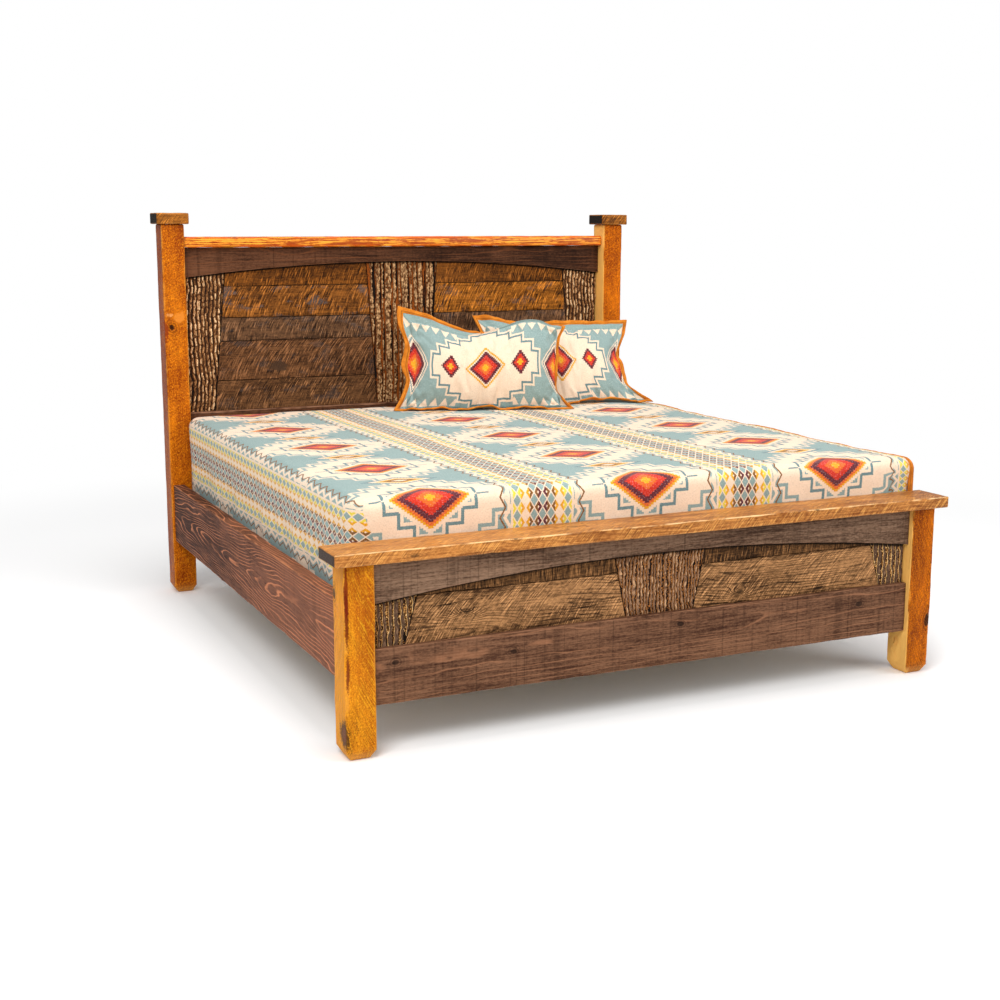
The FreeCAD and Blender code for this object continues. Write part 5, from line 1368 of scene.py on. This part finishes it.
def creased(flat, wide, tall, seed):
    """How far a sham's filled middle sinks at each place: puckers along the seam, a wavering number that dies
    away within 2 cm of it, and five creases from each corner, narrow valleys along rays that fan out there."""
    dice = np.random.default_rng(seed)
    u, v = flat[..., 0], flat[..., 1]
    sink = 0.0
    for gap, run in ((tall / 2 - np.abs(v), u), (wide / 2 - np.abs(u), v)):
        near = gap / 0.016 * np.exp(1 - gap / 0.016)
        sink = sink + 0.0034 * near * waver(run + 3 * np.sign(u + 2 * v), seed, 0.075, 2)
    for left, low in ((-1, -1), (-1, 1), (1, -1), (1, 1)):
        x, y = wide / 2 - left * u, tall / 2 - low * v
        away, turn = np.hypot(x, y), np.arctan2(y, x)
        for number in range(5):
            ray = (number + dice.uniform(0.2, 0.8)) / 5 * PI / 2
            long = dice.uniform(0.07, 0.16)
            valley = np.exp(-((turn - ray) * away / 0.008) ** 2)
            sink = sink + 0.0080 * valley * ease(0.0, 0.035, away) * (1 - ease(long * 0.4, long, away))
    return sink


def resting(points, clear):
    """Points kept above the blanket: one that would lie lower is pressed flat on it."""
    points = points.copy()
    points[..., 2] = np.maximum(points[..., 2], TOP + blanket_roll(points[..., 0], points[..., 1]) + clear)
    return points


def sham(label, spot, yaw, lean, seed, seam, rim):
    """A flanged sham, leaned back about X and turned about Z at its spot: the filled middle, a flat flange of
    two layers round its seam and a suede binding along the flange's edge.

    seam and rim each give corners, how far every side is drawn in and how far it is set back. The middle
    follows its seam because every point moves by the surface spanned between the seam's sides, less the
    plain rectangle. The flange runs straight from seam to rim, in waves that grow with the distance from the
    seam, and ends inside the binding, which covers its outer half."""
    wide, tall = SHAM_WIDE - 2 * FLANGE, SHAM_TALL - 2 * FLANGE
    columns, rows = 91, 47
    turn = np.array(Matrix.Rotation(-math.radians(yaw), 3, "Z")
                    @ Matrix.Rotation(-math.radians(lean), 3, "X")).T

    def standing(points, clear):
        return resting((points + np.array([0, 0, SHAM_TALL / 2])) @ turn + np.array(spot), clear)

    layers, flat = filled_cover(label, wide, tall, columns, rows, seed)
    across, up = np.linspace(0, 1, columns), np.linspace(0, 1, rows)
    bottom, top, left, right = rim_sides(*rim, across, up)
    move = (spanned(*rim_sides(*seam, across, up))
            - np.stack([flat[..., 0], 0 * flat[..., 0], flat[..., 1]], -1))
    sink = creased(flat, wide, tall, seed)
    front, back = (layer + move + np.stack([0 * sink, side * sink, 0 * sink], -1)
                   for layer, side in zip(layers, (1, -1)))
    inner, _, faces = two_layers(rows, columns)
    points = np.concatenate([front.reshape(-1, 3), back.reshape(-1, 3)[inner]])
    flat = flat.reshape(-1, 2)
    order = rim_of(rows, columns)
    outer = np.concatenate([bottom, right[1:], top[-2::-1], left[-2:0:-1]])
    held, flat_seam = points[order], flat[order]
    out = np.sign(flat_seam) * (np.abs(flat_seam) > np.array([wide, tall]) / 2 - 1e-6)
    run = np.linspace(0, 2 * PI, len(order), endpoint=False)
    wave = 0.0055 * sum(np.sin(run * k + seed * k * 1.7) for k in (9, 14, 21, 33)) / 2.5
    face = np.cross(np.roll(outer, -1, 0) - np.roll(outer, 1, 0), held - outer)
    face /= np.linalg.norm(face, axis=1)[:, None]
    face *= np.sign(-(face * [0, 1, 0.4]).sum(1))[:, None]
    outer = outer + face * wave[:, None]
    shares = np.array([-0.10, 0.0, 0.10, 0.22, 0.36, 0.50, 0.70, 0.92])[:, None, None]
    span = outer - held
    ring, ring_map = held + span * shares, flat_seam + out * (FLANGE * shares)
    both = np.concatenate([ring + face * LAYER, ring[::-1] - face * LAYER])
    band = quads(len(both) + 1, len(order), True) % (len(both) * len(order))
    made = piece(f"pillow_{label}_cover", standing(np.concatenate([points, both.reshape(-1, 3)]), 0.0012),
                 np.concatenate([faces, band[:, ::-1] + len(points)]), [], pillow_wool, f"{label}_pillow",
                 [f"pillow_{label}"],
                 maps=np.concatenate([flat, flat[inner],
                                      np.concatenate([ring_map, ring_map[::-1]]).reshape(-1, 2)]))
    smooth = made.modifiers.new("smooth", "SUBSURF")
    smooth.levels = smooth.render_levels = 1
    inward = -span * (BIND / FLANGE) @ turn
    inward *= np.maximum(1, 0.015 / np.linalg.norm(inward, axis=1))[:, None]
    edge_strip(f"pillow_{label}_edge", standing(outer, 0.0040), inward, face @ turn, 1.0, 0.0078,
               f"{label}_pillow", f"pillow_{label}_binding", closed=True, seed=seed)


pillow_wool = woven("pillow_wool", pillow_picture)
sham("front", (0.229, 0.7545, 0.7436), 19, 16, 3,
     seam=([(-340, -203), (338, -203), (330, 148), (-312, 180)],
           dict(bottom=(-2, 1, -2, 1, -1, 2, -2), top=(10, 35, 52, 38, 12, -18, -24),
                left=(20, 34, 38, 34, 36, 24, 8), right=(14, 24, 28, 30, 26, 18, 8)),
           dict(bottom=(0, 0), top=(0, 0, 2, 4, 6, 6, 6, 4, 0), left=(0, 0), right=(0, 2, 4, 4, 4, 4, 2, 2, 0))),
     rim=([(-389, -217), (386, -218), (366, 154), (-360, 244)],
          dict(bottom=(4, 12, 3, 15, 6, 12, 2), top=(13, 36, 63, 72, 62, 42, 26),
               left=(14, 27, 38, 46, 48, 36, 25, 29, 34, 37, 33, 20, 8, 1, -2), right=(32, 60, 55, 50, 43, 36, 25)),
          dict(bottom=(-40, -44, -40, -45, -38, -45, -39, -44, -40), top=(-4, 4, 8, 8, 18, 34, 40, 34, 8),
               left=(-40, -16, 4, -8, 6, -6, 4, 0, -4), right=(-40, -14, 8, 12, 8, 14, 10, 12, 8))))
sham("back", (0.652, 0.7835, 0.7444), 11, 30, 5,
     seam=([(-338, -203), (330, -203), (290, 158), (-336, 182)],
           dict(bottom=(-2, 2, -2, 0, 2, 6, 0), top=(6, 20, 30, 20, 12, 6, 2),
                left=(14, 24, 30, 32, 30, 24, 14), right=(28, 54, 60, 62, 60, 40, 14)),
           dict(bottom=(0, 0), top=(0, 0, 2, 4, 4, 4, 4, 2, 0), left=(0, 0), right=(0, 2, 4, 4, 4, 4, 2, 2, 0))),
     rim=([(-386, -224), (384, -226), (337, 198), (-384, 232)],
          dict(bottom=(4, 12, 6, 2, 20, 26, 4), top=(0, 20, 30, 16, 8, 9, 7),
               left=(20, 35, 45, 48, 45, 35, 20), right=(40, 80, 71, 75, 84, 52, 20)),
          dict(bottom=(-36, -42, -34, -42, -36, -44, -36, -42, -36), top=(0, 6, 10, 4, 8, 4, 8, 2, 0),
               left=(-36, -10, 6, 4, 8, 4, 6, 0, 0), right=(-36, -12, 8, 14, 6, 14, 8, 8, 0))))

# Floor, light and camera


def seen_by(tree, *kinds):
    """1 for the rays of these kinds, and 0 for others."""
    rays = tree.nodes.new("ShaderNodeLightPath").outputs
    return functools.reduce(Reading.most, [Reading(tree, rays[f"Is {kind} Ray"]) for kind in kinds])


ground = Finish("floor", roughness=0.9, specular_ior_level=0.1)
shade = ground.blend(ground.noise(ground.place(), 3.0, 2), tint(228, 228, 226), tint(234, 234, 232))
seen = seen_by(ground.tree, "Camera", "Glossy", "Transmission")
plug(ground.tree, ground.shader.inputs["Base Color"], ground.blend(seen, shade, (1, 1, 1, 1)))
x, y, z = ground.split(ground.place())
mixed = ground.node("ShaderNodeMixShader")
for slot, value in enumerate((((x * x + y * y) ** 0.5).rise(2.0, 4.2) * seen, ground.shader.outputs[0],
                              ground.node("ShaderNodeEmission").outputs[0])):
    plug(ground.tree, mixed.inputs[slot], value)
plug(ground.tree, ground.tree.nodes["Material Output"].inputs[0], mixed.outputs[0])
floor_mesh = bpy.data.meshes.new("floor")
floor_mesh.from_pydata([(-30, -30, 0), (30, -30, 0), (30, 30, 0), (-30, 30, 0)], [], [(0, 1, 2, 3)])
floor_mesh.materials.append(ground.material)
placed("floor", floor_mesh)

world = bpy.data.worlds.new("studio")
bpy.context.scene.world = world
world.use_nodes = True
background = world.node_tree.nodes["Background"]
background.inputs["Color"].default_value = (1, 1, 1, 1)
plug(world.node_tree, background.inputs["Strength"],
     seen_by(world.node_tree, "Camera", "Transmission") * 0.5 + 0.5)


def aimed(made, place, turn):
    """An object moved to a place and turned."""
    made.location = place
    made.rotation_mode = "QUATERNION"
    made.rotation_quaternion = turn
    return made


# Square area lamps: place, target, size and power
for name, place, target, size, power in (("key", (-3.4, -4.2, 4.6), (0, 0, 0.5), 2.6, 252),
                                         ("fill", (3.8, -5.2, 3.0), (0, -0.2, 0.5), 3.2, 132),
                                         ("top", (0.0, -0.6, 5.4), (0, -0.2, 0.6), 3.0, 146)):
    light = bpy.data.lights.new(name, "AREA")
    light.size, light.energy = size, power
    lamp = aimed(placed(name, light), place, (Vector(target) - Vector(place)).to_track_quat("-Z", "Y"))
    lamp.visible_camera = False

view = bpy.data.cameras.new("photo_view")
view.sensor_width, view.lens = 36.0, 53.05
view.clip_start, view.clip_end = 0.1, 100
yaw, pitch, roll = math.radians(24.983), math.radians(10.654), math.radians(0.096)
bpy.context.scene.camera = aimed(
    placed("photo_view", view), (-2.3622, -4.9724, 1.5316),
    (Matrix.Rotation(-yaw, 3, "Z") @ Matrix.Rotation(PI / 2 - pitch, 3, "X")
     @ Matrix.Rotation(roll, 3, "Z")).to_quaternion())
bpy.context.scene.view_settings.view_transform = "Standard"
